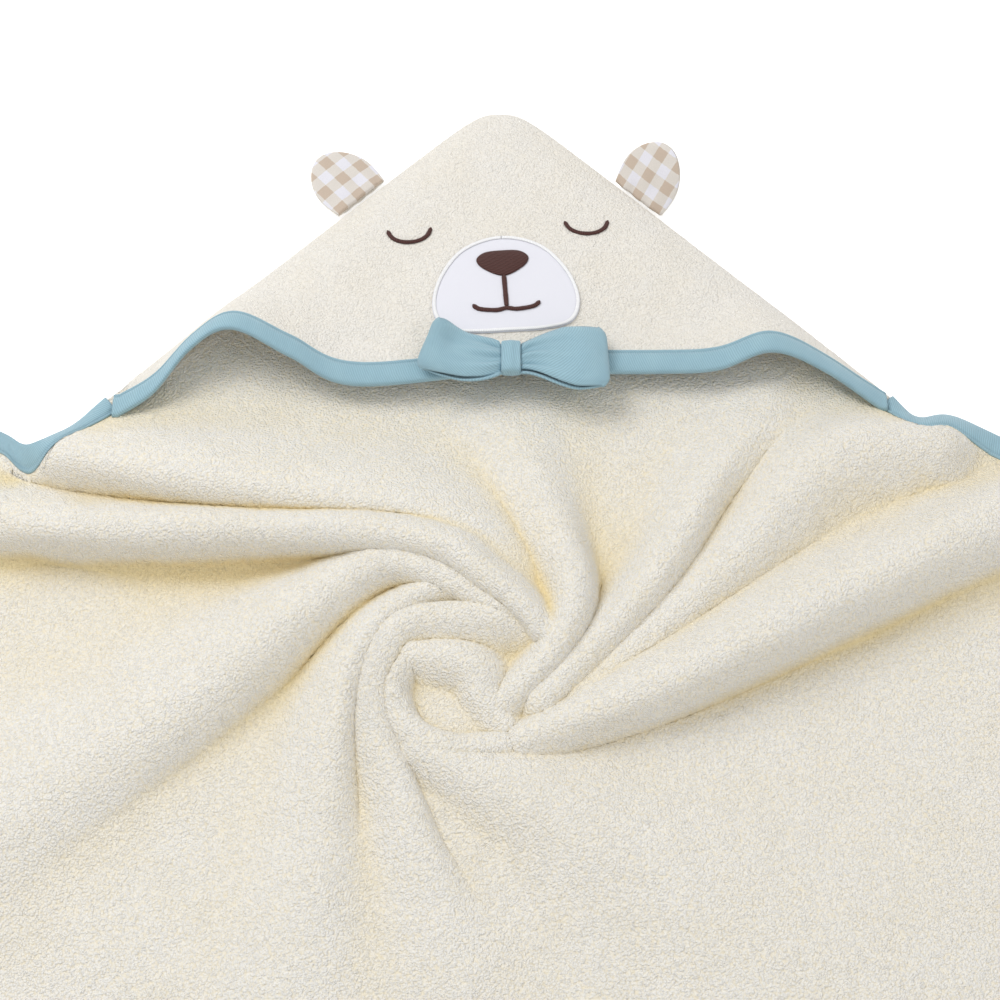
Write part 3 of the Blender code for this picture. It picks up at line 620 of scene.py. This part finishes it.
def towel_sheet():
    """The towel's lower points and quads, the points in its tape, and how deep each point lies,
    which sets its painted crease shade.
    """
    cells = TOWEL_CELLS
    edge, inward = towel_outline(cells)
    plan = tucked(coons(edge + BINDING_WIDTH * inward, cells).reshape(-1, 2))
    grid = drape(plan).reshape(cells + 1, cells + 1, 3)
    grid = settle(grid, SETTLE_TIMES, smooth=0.05)
    painted_crease_shade = np.maximum(*(hollow_share(grid, *scale) for scale in HOLLOWS))
    index = np.arange((cells + 1) ** 2).reshape(cells + 1, cells + 1)
    rim = np.concatenate([index[:-1, 0], index[-1, :-1], index[:0:-1, -1], index[0, :0:-1]])
    low = np.vstack([grid.reshape(-1, 3), drape(tucked(edge))])
    outer = np.arange(index.size, len(low))
    ring = np.stack([np.roll(rim, -1), rim, outer, np.roll(outer, -1)], axis=1)
    faces = np.vstack([grid_faces(cells + 1, cells + 1)[:, ::-1], ring])
    gripped = np.concatenate([rim, outer])
    low[gripped, 2] += EDGE_LIFT
    return low, faces, gripped, painted_crease_shade.reshape(-1)


def make_towel():
    low, faces, gripped, painted_crease_shade = towel_sheet()
    up = cloth_normals(low, faces)
    high = low + up * TERRY
    high[gripped] = low[gripped] + UP * TERRY_BOUND
    raised = soft_lumps(*high[:, :2].T, TOWEL_LUMPS)
    raised += LOOP_HEIGHT * np.random.default_rng(LOOP_SEED).normal(size=len(high))
    raised[gripped] = 0.0
    high += up * raised[:, None]
    low[:, 2] = np.maximum(low[:, 2], TABLE_GAP)
    towel = slab("towel_cloth", high, low, faces)
    # Painted crease shade on the upper face's grid points, read by the towel's material.
    shade = np.zeros(len(high) * 2)
    shade[:len(painted_crease_shade)] = painted_crease_shade
    layer = towel.data.attributes.new("painted_crease_shade", "FLOAT", "POINT")
    layer.data.foreach_set("value", shade.astype(np.float32))
    return towel


def cloth_normals(points, faces):
    """Unit normal at each point of a sheet of quads."""
    corner = points[faces]
    flat = np.cross(corner[:, 2] - corner[:, 0], corner[:, 3] - corner[:, 1])
    total = np.zeros_like(points)
    for k in range(4):
        np.add.at(total, faces[:, k], flat)
    return total / np.linalg.norm(total, axis=1)[:, None]


def tape_section(edge_top, edge_bottom, inner_top, inner_bottom):
    """The closed section of a tape folded over a cloth edge at each point of the edge."""
    out = edge_top - inner_top
    out = out / np.linalg.norm(out, axis=1)[:, None]
    radius = (edge_top - edge_bottom)[:, 2:] / 2 + GAP + TAPE
    middle = (edge_top + edge_bottom) / 2
    above = inner_top - edge_top
    below = inner_bottom - edge_bottom
    section = [edge_top + above * share + UP * (GAP + TAPE * lift) for share, lift in TAPE_TOP]
    for turn in TAPE_FOLD:
        angle = math.radians(turn)
        section.append(middle + out * radius * math.cos(angle) + UP * radius * math.sin(angle))
    for share, lift in TAPE_UNDER:
        section.append(edge_bottom + below * share - UP * (GAP * 0.5 + TAPE * lift))
    section += [edge_bottom + below * share for share in (1.0, 0.5, 0.0)]
    section += [edge_top + above * share for share in (0.0, 0.5, 1.0)]
    return np.stack(section, axis=1)


def make_tape(name, section):
    """Sweeps closed sections into one tape with capped ends; uv runs along and across it."""
    count, around = section.shape[:2]
    uv = uv_grid(lengths(section[:, 4]), np.linspace(0.0, TAPE_ROUND, around))
    faces = grid_faces(count, around, closed=True)
    return face_out(mesh_object(name, section.reshape(-1, 3), faces, uv), capped=True)


def make_outer_binding():
    """Tape round the towel from one end of the hood's seam to the other."""
    edge, inward = towel_outline(TOWEL_CELLS)
    kept = edge[:, 1] < hood_seam_y(HOOD_HALF) - TAPE_START
    inner = tucked((edge + BINDING_WIDTH * inward)[kept])
    edge = tucked(edge[kept])
    thick = UP * TERRY_BOUND
    edge_low = drape(edge) + UP * EDGE_LIFT
    inner_low = drape(inner) + UP * EDGE_LIFT
    section = tape_section(edge_low + thick, edge_low, inner_low + thick, inner_low)
    return make_tape("outer_tape", section)


# Hood ------------------------------

def hood_front_rows(count, beyond, most):
    """Places along the hood's front, its depth there, and how much of that the tape takes."""
    x = np.linspace(-HOOD_HALF - beyond, HOOD_HALF + beyond, count)
    front = hood_front_y(x)
    depth = hood_seam_y(x) - front
    return x, front, depth, np.minimum(BINDING_WIDTH, most * depth)


def make_hood():
    """The hood's terry, rounded where its seam is turned."""
    rows, columns = HOOD_CELLS
    x, front, depth, first = hood_front_rows(columns, -HOOD_INSET, HOOD_BOUND)
    shares = 1 - (1 - np.linspace(0.0, 1.0, rows)[:, None]) ** 1.5
    y = np.vstack([front[None], front + first + (depth - first) * shares])
    x = np.broadcast_to(x, y.shape)
    top = hood_top(x, y)
    thick = np.full(x.shape, TERRY)
    thick[:2] = TERRY_BOUND
    roll = np.clip(from_seam(x, y) / HOOD_TURN, 0.0, 1.0)
    droop = (SEAM_Z - 0.002) * (1 - np.sqrt(1 - (1 - roll) ** 2))
    pile = np.where(thick == TERRY, 0.0003, 0.0) * cloth_noise(x, y, 0.004, 6)
    high = np.stack([x, y, top - droop + pile], axis=-1)
    under = np.minimum(np.maximum(top - thick, SEAM_Z - TERRY_BOUND), high[..., 2] - 0.0004)
    low = np.stack([x, y, under], axis=-1)
    return slab("hood_cloth", high.reshape(-1, 3), low.reshape(-1, 3), grid_faces(*x.shape))


def make_hood_binding():
    x, front, _, first = hood_front_rows(HOOD_TAPE_CELLS, HOOD_TAPE_BEYOND, HOOD_TAPE_BOUND)
    edge = np.column_stack([x, front, hood_top(x, front)])
    inner = np.column_stack([x, front + first, hood_top(x, front + first)])
    thick = UP * TERRY_BOUND
    section = tape_section(edge, edge - thick, inner, inner - thick)
    return make_tape("hood_tape", section)


# Ears ------------------------------

def ear_frame(side, tilt):
    """Turns ear coordinates into the towel's: out along the ground, then tilted up."""
    away = Vector((side, 1.0, 0.0)).normalized()
    along_seam = Vector((1.0, -side, 0.0)).normalized()
    up = Vector(UP)
    lean = math.radians(tilt)
    outward = away * math.cos(lean) + up * math.sin(lean)
    face = up * math.cos(lean) - away * math.sin(lean)
    x = side * EAR_PLACE
    root = Vector((x, hood_seam_y(x), 0.0)) + away * EAR_ROOT
    root.z = EAR_ROOT_Z
    return Matrix.Translation(root) @ Matrix((along_seam, outward, face)).transposed().to_4x4()


def make_ear_layer(name, side, tilt, facing):
    """One of the ear's two cloths, full in the middle and gathered at the seam."""
    rows, columns = EAR_CELLS
    share = np.linspace(0.0, 1.0, rows)[:, None]
    share = 0.995 * share * (2 - share)
    across = np.sin(np.linspace(-1.0, 1.0, columns)[None, :] * math.pi / 2)
    widen = EAR_BASE + (EAR_WIDTH - EAR_BASE) * np.sin(math.pi * np.minimum(share, 0.9) / 0.9)
    x = across * widen / 2 * np.sqrt(1 - share ** 3.2)
    y = EAR_LENGTH * share * np.ones_like(across)
    edge = np.sqrt(np.maximum((1 - across ** 2) * (1 - share ** 4), 0.0))
    thick = EAR_LAYER * (0.35 + 0.65 * edge ** 0.6) + EAR_FULLNESS * edge ** 1.4
    thick = thick + 0.0005 * edge * cloth_noise(x, y, 0.010, 7 + facing)
    thick = thick + 0.0006 * np.cos(across * 11) * np.exp(-share / 0.18) * edge
    near = np.full(x.shape, facing * GAP / 2)
    far = near + facing * thick
    frame = np.array(ear_frame(side, tilt))
    sheets = []
    for height in (far, near):
        points = np.stack([x, y, height, np.ones(x.shape)], axis=-1).reshape(-1, 4)
        sheets.append((points @ frame.T)[:, :3])
    uv = np.stack([x, y], axis=-1).reshape(-1, 2)
    return face_out(slab(name, *sheets, grid_faces(*x.shape), uv))


# Face ------------------------------

def mirrored(half):
    """A symmetric line or loop from its left half."""
    return half + tuple((-x, y) for x, y in half[-2::-1] if x)


def closed_path(half, per_span):
    """A smooth loop through the points of its left half and their mirror image."""
    points = mirrored(half)
    path = smooth_path(points[-2:] + points + points[:2], per_span)
    return path[2 * per_span:(2 + len(points)) * per_span]


def face_plan(points):
    """Turns upright face coordinates into the towel's plan."""
    turn = math.radians(FACE_TILT)
    x, y = np.asarray(points, float).reshape(-1, 2).T
    return np.stack([FACE_AT[0] + x * math.cos(turn) - y * math.sin(turn),
                     FACE_AT[1] + x * math.sin(turn) + y * math.cos(turn)], axis=1)


def on_hood(name, upright, faces, clear, height, uv):
    """A thin sheet over the hood, given in upright face coordinates."""
    plan = face_plan(upright)
    low = np.column_stack([plan, hood_top(*plan.T) + clear])
    high = low + np.column_stack([np.zeros((len(low), 2)), height])
    return face_out(slab(name, high, low, faces, uv))


def disc(loop, rings):
    """Points and quads that fill a loop from a small ring round its middle, and their shares."""
    middle = loop.mean(axis=0)
    shares = np.linspace(0.02, 1.0, rings) ** 0.8
    points = middle + (loop - middle)[None] * shares[:, None, None]
    faces = grid_faces(rings, len(loop), closed=True)
    centre = np.arange(len(loop))
    half = len(loop) // 2
    cap = np.stack([centre[:half - 1], centre[1:half], centre[::-1][1:half],
                    centre[::-1][:half - 1]], axis=1)
    shares = np.repeat(shares, len(loop))
    return points.reshape(-1, 2), np.vstack([faces[:, ::-1], cap]), shares


def stroke(name, points, width, clear):
    """A line of satin stitch, rounded across and narrowed at both ends."""
    path = smooth_path(points, 22)
    ahead = np.gradient(path, axis=0)
    ahead /= np.linalg.norm(ahead, axis=1)[:, None]
    side = np.stack([-ahead[:, 1], ahead[:, 0]], axis=1)
    length = lengths(path)
    from_end = np.minimum(length, length[-1] - length)
    half = width / 2 * np.sqrt(np.clip(from_end / (width * 0.45), 0.0, 1.0) * 0.85 + 0.15)
    ragged = np.array([noise.noise(Vector((v / (THREAD_PITCH * 1.3), width * 900, 0.0)))
                       for v in length])
    half = half * (1 + 0.10 * ragged)
    across = np.linspace(-1.0, 1.0, 11)
    upright = path[:, None] + side[:, None] * (half[:, None] * across)[..., None]
    height = np.tile(THREAD_HEIGHT * (0.15 + 0.85 * np.sqrt(1 - 0.96 * across ** 2)), len(path))
    return on_hood(name, upright.reshape(-1, 2), grid_faces(len(path), len(across)), clear,
                   height, uv_grid(length, across * width / 2))


def make_muzzle():
    upright, faces, share = disc(closed_path(MUZZLE, 12), 24)
    height = PATCH * (0.35 + 0.65 * np.clip((1 - share) / 0.05, 0.0, 1.0))
    return on_hood("muzzle_cloth", upright, faces, GAP, height, upright)


def make_muzzle_border():
    """Satin stitch round the muzzle, each stitch running in from its edge."""
    loop = closed_path(MUZZLE, 24)
    reach = np.linalg.norm(loop, axis=1)[:, None]
    across = np.linspace(0.0, 1.0, 9)
    rings = [loop * (1 - (GAP + (BORDER_WIDTH - GAP) * share) / reach) for share in across]
    step = np.linalg.norm(loop - np.roll(loop, 1, axis=0), axis=1)
    length = np.cumsum(step)
    height = BORDER_HEIGHT * (0.2 + 0.8 * np.sqrt(1 - (2 * across - 1) ** 2 * 0.96))
    height = np.repeat(height, len(loop))
    uv = np.stack([np.tile(length, len(across)), np.repeat(across, len(loop)) * BORDER_WIDTH],
                  axis=1)
    faces = grid_faces(len(across), len(loop), closed=True)[:, ::-1]
    return on_hood("muzzle_edge", np.vstack(rings), faces, 2 * GAP + PATCH, height, uv)


def make_nose():
    upright, faces, share = disc(closed_path(NOSE, 14), 18)
    height = THREAD_HEIGHT * (0.25 + 0.95 * np.sqrt(1 - share ** 3))
    return on_hood("nose", upright, faces, 2 * GAP + PATCH, height, upright[:, ::-1])


# Bow ------------------------------

def dent(reach, across, middle, size):
    """1 at the middle of a soft dent or pleat in a wing, falling away all round."""
    return np.exp(-((reach - middle[0]) / size[0]) ** 2 - ((across - middle[1]) / size[1]) ** 2)


def left_wing(reach, across):
    """Plan and rise of the left wing: its broad upper corner is flopped up and back."""
    corner = ease(reach, 0.35, 1.0) * ease(across, -0.9, 1.0)
    x = BOW_LENGTH * reach * (1 - 0.18 * corner - 0.08 * across ** 8)
    top = BOW_WAIST + 0.0135 * reach ** 0.6
    bottom = -BOW_WAIST - 0.0055 * np.sin(math.pi * reach ** 0.8)
    rise = 0.0080 * corner - 0.0026 * dent(reach, across, (0.62, 0.30), (0.18, 0.35))
    return x, bottom + (top - bottom) * (across + 1) / 2, rise


def right_wing(reach, across):
    """Plan and rise of the right wing, which lies flat and full with a pleat by the band."""
    x = BOW_LENGTH * reach * (1.04 - 0.02 * across - 0.09 * across ** 8)
    top = BOW_WAIST + 0.0125 * np.minimum(reach / 0.55, 1.0) ** 0.7
    bottom = -BOW_WAIST - 0.0115 * ease(reach, 0.0, 0.75)
    rise = -0.0016 * dent(reach, across, (0.50, -0.15), (0.16, 0.35))
    rise += 0.0010 * dent(reach, across, (0.22, 0.5), (0.10, 0.25))
    return x, bottom + (top - bottom) * (across + 1) / 2, rise


def make_bow_loop(name, side, wing):
    """Half the bow: a strip of tape that leaves the band, folds over and comes back under."""
    rows, columns = BOW_CELLS
    turn = np.linspace(BOW_START, 2 * math.pi - BOW_START, rows)
    start = math.sin(BOW_START / 2)
    reach = ((np.sin(turn / 2) - start) / (1 - start))[:, None]
    across = np.linspace(-1.0, 1.0, columns)[None, :]
    x, y, rise = wing(reach, across)
    under = np.clip((turn - math.pi) / 0.8, 0.0, 1.0)[:, None]
    y = y - 0.0022 * under * (1 - reach) * (0.4 - across)
    gather = np.exp(-reach / 0.26) * (1 - np.exp(-reach / 0.05))
    pleats = 0.0019 * gather * np.cos(across * 7.5 + 1.3 * side + 0.5 * under)
    pleats = pleats + 0.0007 * gather * np.cos(across * 17.0 + 2.0 * side)
    seam = 0.0008 * np.exp(-((1 - np.abs(across)) / 0.10) ** 2)
    wave = 0.0007 * cloth_noise(x, y, 0.013, 11 + side) * reach ** 0.5
    loft = BOW_LOFT * np.sin(turn)[:, None] * (0.45 + 0.65 * (1 - across ** 2))
    loft = loft - np.sign(loft) * seam
    height = loft + rise + pleats + wave
    middle = np.stack(np.broadcast_arrays(side * x, y, height), axis=-1)
    out = np.cross(np.gradient(middle, axis=0), np.gradient(middle, axis=1))
    out /= np.linalg.norm(out, axis=-1, keepdims=True)
    pivot = np.array([BOW_AT[0] + side * (BOW_BAND[0] / 2 - 0.0002), BOW_AT[1], BOW_MIDDLE_Z])
    sheets = [(middle + out * half).reshape(-1, 3) + pivot for half in (TAPE / 2, -TAPE / 2)]
    uv = uv_grid(turn * 0.016, across * 0.0185)
    return face_out(slab(name, *sheets, grid_faces(rows, columns), uv))


def squared(turn, size):
    """One coordinate of a rounded rectangle, from its angle's sine or cosine."""
    return np.sign(turn) * np.sqrt(np.abs(turn)) * size / 2


def make_bow_band():
    """The short tape wrapped round the middle of the bow."""
    width, high, thick = BOW_BAND
    turn = np.linspace(0.0, 2 * math.pi, 64, endpoint=False)
    y = squared(np.cos(turn), high)
    z = squared(np.sin(turn), thick)
    sections = []
    for place in np.linspace(-1.0, 1.0, 25):
        inset = 0.0011 * (1 - math.sqrt(max(1 - place ** 6, 0.0)))
        dip = 0.00035 * math.cos(place * 5.0)
        x = place * width / 2 * (1 + 0.03 * np.abs(y) / high)
        sections.append(np.stack([x, y * (1 - 2 * inset / high),
                                  z * (1 - 2 * inset / thick + 2 * dip / thick)], axis=1))
    section = np.stack(sections) + np.array([*BOW_AT, BOW_MIDDLE_Z])
    return make_tape("bow_wrap", section)


# Materials ------------------------------

class Nodes:
    """Short ways to add and join the nodes of one material."""

    def __init__(self, name):
        self.material = bpy.data.materials.new(name)
        self.material.use_nodes = True
        self.tree = self.material.node_tree
        self.shader = self.tree.nodes["Principled BSDF"]

    def add(self, kind, settings=None, **inputs):
        node = self.tree.nodes.new(kind)
        for key, value in (settings or {}).items():
            setattr(node, key, value)
        return self.fill(node, **inputs)

    def fill(self, node, **inputs):
        """Sets a node's inputs by name, with _ for a space."""
        for key, value in inputs.items():
            self.set(node.inputs[key.replace("_", " ")], value)
        return node

    def set(self, socket, value):
        if isinstance(value, bpy.types.NodeSocket):
            self.tree.links.new(value, socket)
        elif socket.type == "RGBA":
            socket.default_value = (*value, 1.0)
        else:
            socket.default_value = value

    def place(self, kind):
        """Where a point is: on its object, or by UV on its cloth."""
        return self.add("ShaderNodeTexCoord").outputs[kind]

    def noise(self, place, size, detail, output="Fac"):
        node = self.add("ShaderNodeTexNoise", Vector=place, Scale=1 / size, Detail=detail)
        return node.outputs[output]

    def wander(self, place, size, reach):
        """The place moved about by noise of the given size."""
        node = self.add("ShaderNodeVectorMath", {"operation": "MULTIPLY_ADD"})
        self.set(node.inputs[0], self.noise(place, size, 2.0, "Color"))
        node.inputs[1].default_value = (reach,) * 3
        self.set(node.inputs[2], place)
        return node.outputs[0]

    def math(self, operation, a, b=0.0):
        node = self.tree.nodes.new("ShaderNodeMath")
        node.operation = operation
        self.set(node.inputs[0], a)
        self.set(node.inputs[1], b)
        return node.outputs[0]

    def ramp(self, factor, *stops):
        node = self.tree.nodes.new("ShaderNodeValToRGB")
        while len(node.color_ramp.elements) < len(stops):
            node.color_ramp.elements.new(0.5)
        for element, (place, colour) in zip(node.color_ramp.elements, stops):
            element.position = place
            element.color = (*colour, 1.0)
        self.set(node.inputs[0], factor)
        return node.outputs[0]

    def mix(self, factor, a, b, blend="MIX"):
        node = self.tree.nodes.new("ShaderNodeMix")
        node.data_type = "RGBA"
        node.blend_type = blend
        self.set(node.inputs[0], factor)
        self.set(node.inputs[6], a)
        self.set(node.inputs[7], b)
        return node.outputs[2]

    def bump(self, height, distance, strength=1.0, normal=None):
        node = self.add("ShaderNodeBump", Height=height, Distance=distance, Strength=strength)
        if normal is not None:
            self.set(node.inputs["Normal"], normal)
        return node.outputs[0]

    def finish(self, colour, normal, roughness, sheen):
        self.fill(self.shader, Base_Color=colour, Normal=normal, Roughness=roughness,
                  Specular_IOR_Level=0.15, Sheen_Weight=sheen, Sheen_Roughness=0.5)
        return self.material


def tinted(colour, share):
    """A colour made darker or lighter."""
    return tuple(min(c * share, 1.0) for c in colour)


def terry(name, light, deep, loop, depth, painted_crease_shade=False):
    """Looped cotton: small rounded loops, with warm painted shade in the gaps between them and, on
    a cloth that carries it, in its creases.
    """
    n = Nodes(name)
    place = n.place("Object")
    shifted = n.wander(place, loop * 2.0, loop * 1.1)
    loops = n.add("ShaderNodeTexVoronoi", {"feature": "F1"}, Vector=shifted, Scale=1 / loop,
                  Randomness=1.0).outputs["Distance"]
    fibre = n.math("MULTIPLY", n.noise(place, loop * 0.45, 3.0), 0.5)
    height = n.math("ADD", n.math("SUBTRACT", 1.0, loops), fibre)
    normal = n.bump(n.noise(place, 0.005, 3.0), 0.0005, 0.6)
    normal = n.bump(height, depth, 1.0, normal)
    # Painted shade between the loops: the gaps are mixed toward the darker, warmer colour deep.
    loop_gap_shade = n.ramp(loops, (0.35, (0.0, 0.0, 0.0)), (0.95, (1.0, 1.0, 1.0)))
    colour = n.mix(n.math("MULTIPLY", loop_gap_shade, 0.42), light, deep)
    patch = n.noise(place, 0.03, 3.0)
    tint = n.ramp(patch, (0.35, (1.0, 1.0, 1.0)), (0.68, (0.99, 0.98, 0.955)))
    colour = n.mix(1.0, colour, tint, "MULTIPLY")
    if painted_crease_shade:
        # Painted shade in the creases: the deeper a point lies among its neighbours, the more it
        # takes the colour deep.
        low = n.add("ShaderNodeAttribute", {"attribute_name": "painted_crease_shade"}).outputs["Fac"]
        colour = n.mix(n.math("MULTIPLY", low, 0.9), colour, deep)
    return n.finish(colour, normal, 0.95, sheen=0.15)


def jersey(name, colour):
    """Fine knitted cotton tape with a slanting rib."""
    n = Nodes(name)
    place = n.place("UV")
    turned = n.add("ShaderNodeMapping", Vector=place)
    turned.inputs["Rotation"].default_value = (0.0, 0.0, math.radians(32))
    rib = n.add("ShaderNodeTexWave", {"wave_type": "BANDS"}, Vector=turned.outputs[0],
                Scale=0.314 / 0.0011, Distortion=1.5, Detail=1.0).outputs["Fac"]
    wear = n.noise(place, 0.012, 4.0)
    normal = n.bump(wear, 0.0010, 0.4)
    normal = n.bump(rib, 0.00022, 0.7, normal)
    normal = n.bump(n.noise(place, 0.0005, 3.0), 0.0003, 0.6, normal)
    # Painted shade in the rib's grooves and a painted highlight on its crests.
    shade = n.mix(rib, tinted(colour, 0.88), tinted(colour, 1.08))
    worn = n.ramp(wear, (0.3, (0.95, 0.96, 0.97)), (0.7, (1.04, 1.03, 1.02)))
    return n.finish(n.mix(1.0, shade, worn, "MULTIPLY"), normal, 0.9, sheen=0.3)


def stripes(n, axis, period, phase):
    """1 on half of each period along an axis of the cloth, 0 on the other half."""
    turn = n.math("FRACT", n.math("ADD", n.math("DIVIDE", axis, period), phase))
    return n.math("LESS_THAN", turn, 0.5)


def weave(n, place, thread, depth):
    """Bump of a plain weave."""
    parts = n.add("ShaderNodeSeparateXYZ", Vector=place).outputs
    turn = 2 * math.pi / thread
    warp = n.math("SINE", n.math("MULTIPLY", parts["X"], turn))
    weft = n.math("SINE", n.math("MULTIPLY", parts["Y"], turn))
    return n.bump(n.math("MULTIPLY", warp, weft), depth, 0.8)


def gingham(name):
    """Beige and white checks, half-tone where a coloured thread crosses a white one."""
    n = Nodes(name)
    place = n.place("UV")
    shifted = n.wander(place, 0.0015, 0.0008)
    parts = n.add("ShaderNodeSeparateXYZ", Vector=shifted).outputs
    warp = stripes(n, parts["X"], 2 * EAR_CHECK, 0.25)
    weft = stripes(n, parts["Y"], 2 * EAR_CHECK, 0.10)
    both = n.math("MULTIPLY", n.math("ADD", warp, weft), 0.5)
    colour = n.ramp(both, (0.0, (0.83, 0.82, 0.88)), (0.5, (0.76, 0.71, 0.655)),
                    (1.0, (0.61, 0.50, 0.405)))
    slub = n.noise(place, 0.0006, 2.0)
    mottle = n.ramp(slub, (0.3, (0.94, 0.94, 0.94)), (0.7, (1.03, 1.03, 1.03)))
    return n.finish(n.mix(1.0, colour, mottle, "MULTIPLY"), weave(n, place, 0.0007, 0.0001),
                    0.85, sheen=0.1)


def plain_cotton(name, colour):
    """Smooth white woven cotton."""
    n = Nodes(name)
    return n.finish(colour, weave(n, n.place("UV"), 0.0006, 0.00006), 0.8, sheen=0.1)


def thread(name, colour, roughness, gap_shade_share):
    """Satin stitch: fine threads across the line. Painted shade darkens the colour between the
    threads by the given share, and a painted highlight lightens their crowns.
    """
    n = Nodes(name)
    place = n.place("UV")
    parts = n.add("ShaderNodeSeparateXYZ", Vector=place).outputs
    run = n.math("ADD", parts["X"], n.math("MULTIPLY", parts["Y"], THREAD_SLANT))
    run = n.math("ADD", run, n.math("MULTIPLY", n.noise(place, 0.002, 2.0), 0.0009))
    wave = n.math("SINE", n.math("MULTIPLY", run, 2 * math.pi / THREAD_PITCH))
    ridge = n.math("ADD", n.math("MULTIPLY", wave, 0.5), 0.5)
    # Painted shade in the grooves between threads and a painted highlight on their crowns.
    shade = n.mix(ridge, tinted(colour, gap_shade_share), tinted(colour, 1.35))
    return n.finish(shade, n.bump(ridge, 0.0002, 1.0), roughness, sheen=0.1)


# Stage ------------------------------

def make_floor():
    bpy.ops.mesh.primitive_plane_add(size=12.0, location=(0.0, 0.0, FLOOR_Z))
    floor = bpy.context.object
    floor.name = "floor"
    n = Nodes("floor_white")
    n.fill(n.shader, Base_Color=(0.93, 0.93, 0.93), Roughness=1.0, Specular_IOR_Level=0.0,
           Emission_Color=(1.0, 1.0, 1.0), Emission_Strength=0.36)
    floor.data.materials.append(n.material)


def make_lights():
    world = bpy.data.worlds.new("studio")
    bpy.context.scene.world = world
    world.use_nodes = True
    back = world.node_tree.nodes["Background"]
    back.inputs["Color"].default_value = (1.0, 1.0, 1.0, 1.0)
    back.inputs["Strength"].default_value = 0.66
    for name, place, size, power in LIGHTS:
        light = bpy.data.lights.new(name, "AREA")
        light.size = size
        light.energy = power
        lamp = bpy.data.objects.new(name, light)
        lamp.location = place
        aim = Vector(LIGHTS_AIM) - lamp.location
        lamp.rotation_euler = aim.to_track_quat("-Z", "Y").to_euler()
        bpy.context.scene.collection.objects.link(lamp)
    bpy.context.scene.view_settings.view_transform = "Standard"


def make_camera():
    data = bpy.data.cameras.new("camera")
    data.sensor_width = 36.0
    data.lens = CAMERA_LENS
    camera = bpy.data.objects.new("camera", data)
    tilt = math.radians(CAMERA_TILT)
    back = Vector((0.0, -math.cos(tilt), math.sin(tilt)))
    camera.location = Vector(CAMERA_AIM) + back * CAMERA_AWAY
    camera.rotation_euler = (-back).to_track_quat("-Z", "Y").to_euler()
    bpy.context.scene.collection.objects.link(camera)
    bpy.context.scene.camera = camera


def dress(obj, material, slot, *nodes, body="towel"):
    """Gives a piece its material and its body, and hides the CAD nodes that it stands for."""
    obj.data.materials.append(material)
    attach(obj, body)
    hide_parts(*nodes)
    return obj


def lay_towel(cream, pile, blue):
    towel = dress(make_towel(), cream, "towel_terry", "towel_panel")
    edge = dress(make_outer_binding(), blue, "outer_tape", "outer_binding")
    hood = dress(make_hood(), pile, "hood_terry", "hood_panel")
    front = dress(make_hood_binding(), blue, "hood_tape", "hood_binding")


def sew_ears(pile, check):
    for body, side, tilt in (("left_ear", -1.0, LEFT_EAR_TILT), ("right_ear", 1.0, RIGHT_EAR_TILT)):
        for part, facing, material, slot in (("front", 1, check, "ear_check"),
                                             ("back", -1, pile, "ear_terry")):
            layer = make_ear_layer(f"{body}_{part}_cloth", side, tilt, facing)
            dress(layer, material, slot, f"{body}_{part}", body=body)


def sew_face(brown, white, cotton):
    muzzle = dress(make_muzzle(), cotton, "muzzle_cotton", "muzzle_patch")
    dress(make_muzzle_border(), white, "white_thread", "muzzle_border")
    dress(make_nose(), brown, "brown_thread", "nose_embroidery")
    on_patch = 2 * GAP + PATCH
    for name, points in (("philtrum", PHILTRUM), ("mouth", mirrored(MOUTH))):
        line = stroke(name, points, THREAD_WIDTH, on_patch)
        dress(line, brown, "brown_thread", f"{name}_embroidery")
    for name, middle in (("left_eye", LEFT_EYE_AT), ("right_eye", RIGHT_EYE_AT)):
        lashes = stroke(name, np.add(mirrored(EYE), middle), EYE_THREAD_WIDTH, GAP)
        dress(lashes, brown, "brown_thread", f"{name}_embroidery")


def tie_bow(blue):
    for name, side, wing in (("left", -1.0, left_wing), ("right", 1.0, right_wing)):
        loop = make_bow_loop(f"bow_{name}_cloth", side, wing)
        dress(loop, blue, "bow_tape", f"bow_{name}_loop", body=f"bow_{name}_wing")
    band = dress(make_bow_band(), blue, "bow_tape", "bow_band")


def main():
    make_floor()
    make_lights()
    make_camera()
    # The second colour of each terry is its painted shade, for the gaps between loops and, on the
    # towel, its creases.
    cream = terry("towel_terry", (0.925, 0.905, 0.86), (0.93, 0.77, 0.43), 0.0013, 0.0011,
                  painted_crease_shade=True)
    pile = terry("hood_terry", (0.885, 0.855, 0.80), (0.80, 0.73, 0.61), 0.0013, 0.0009)
    blue = jersey("blue_jersey", (0.31, 0.485, 0.565))
    brown = thread("brown_thread", (0.085, 0.036, 0.031), 0.55, 0.55)
    white = thread("white_thread", (0.95, 0.95, 0.97), 0.7, 0.9)
    cotton = plain_cotton("muzzle_cotton", (0.80, 0.80, 0.86))
    lay_towel(cream, pile, blue)
    sew_ears(pile, gingham("ear_gingham"))
    sew_face(brown, white, cotton)
    tie_bow(blue)


main()
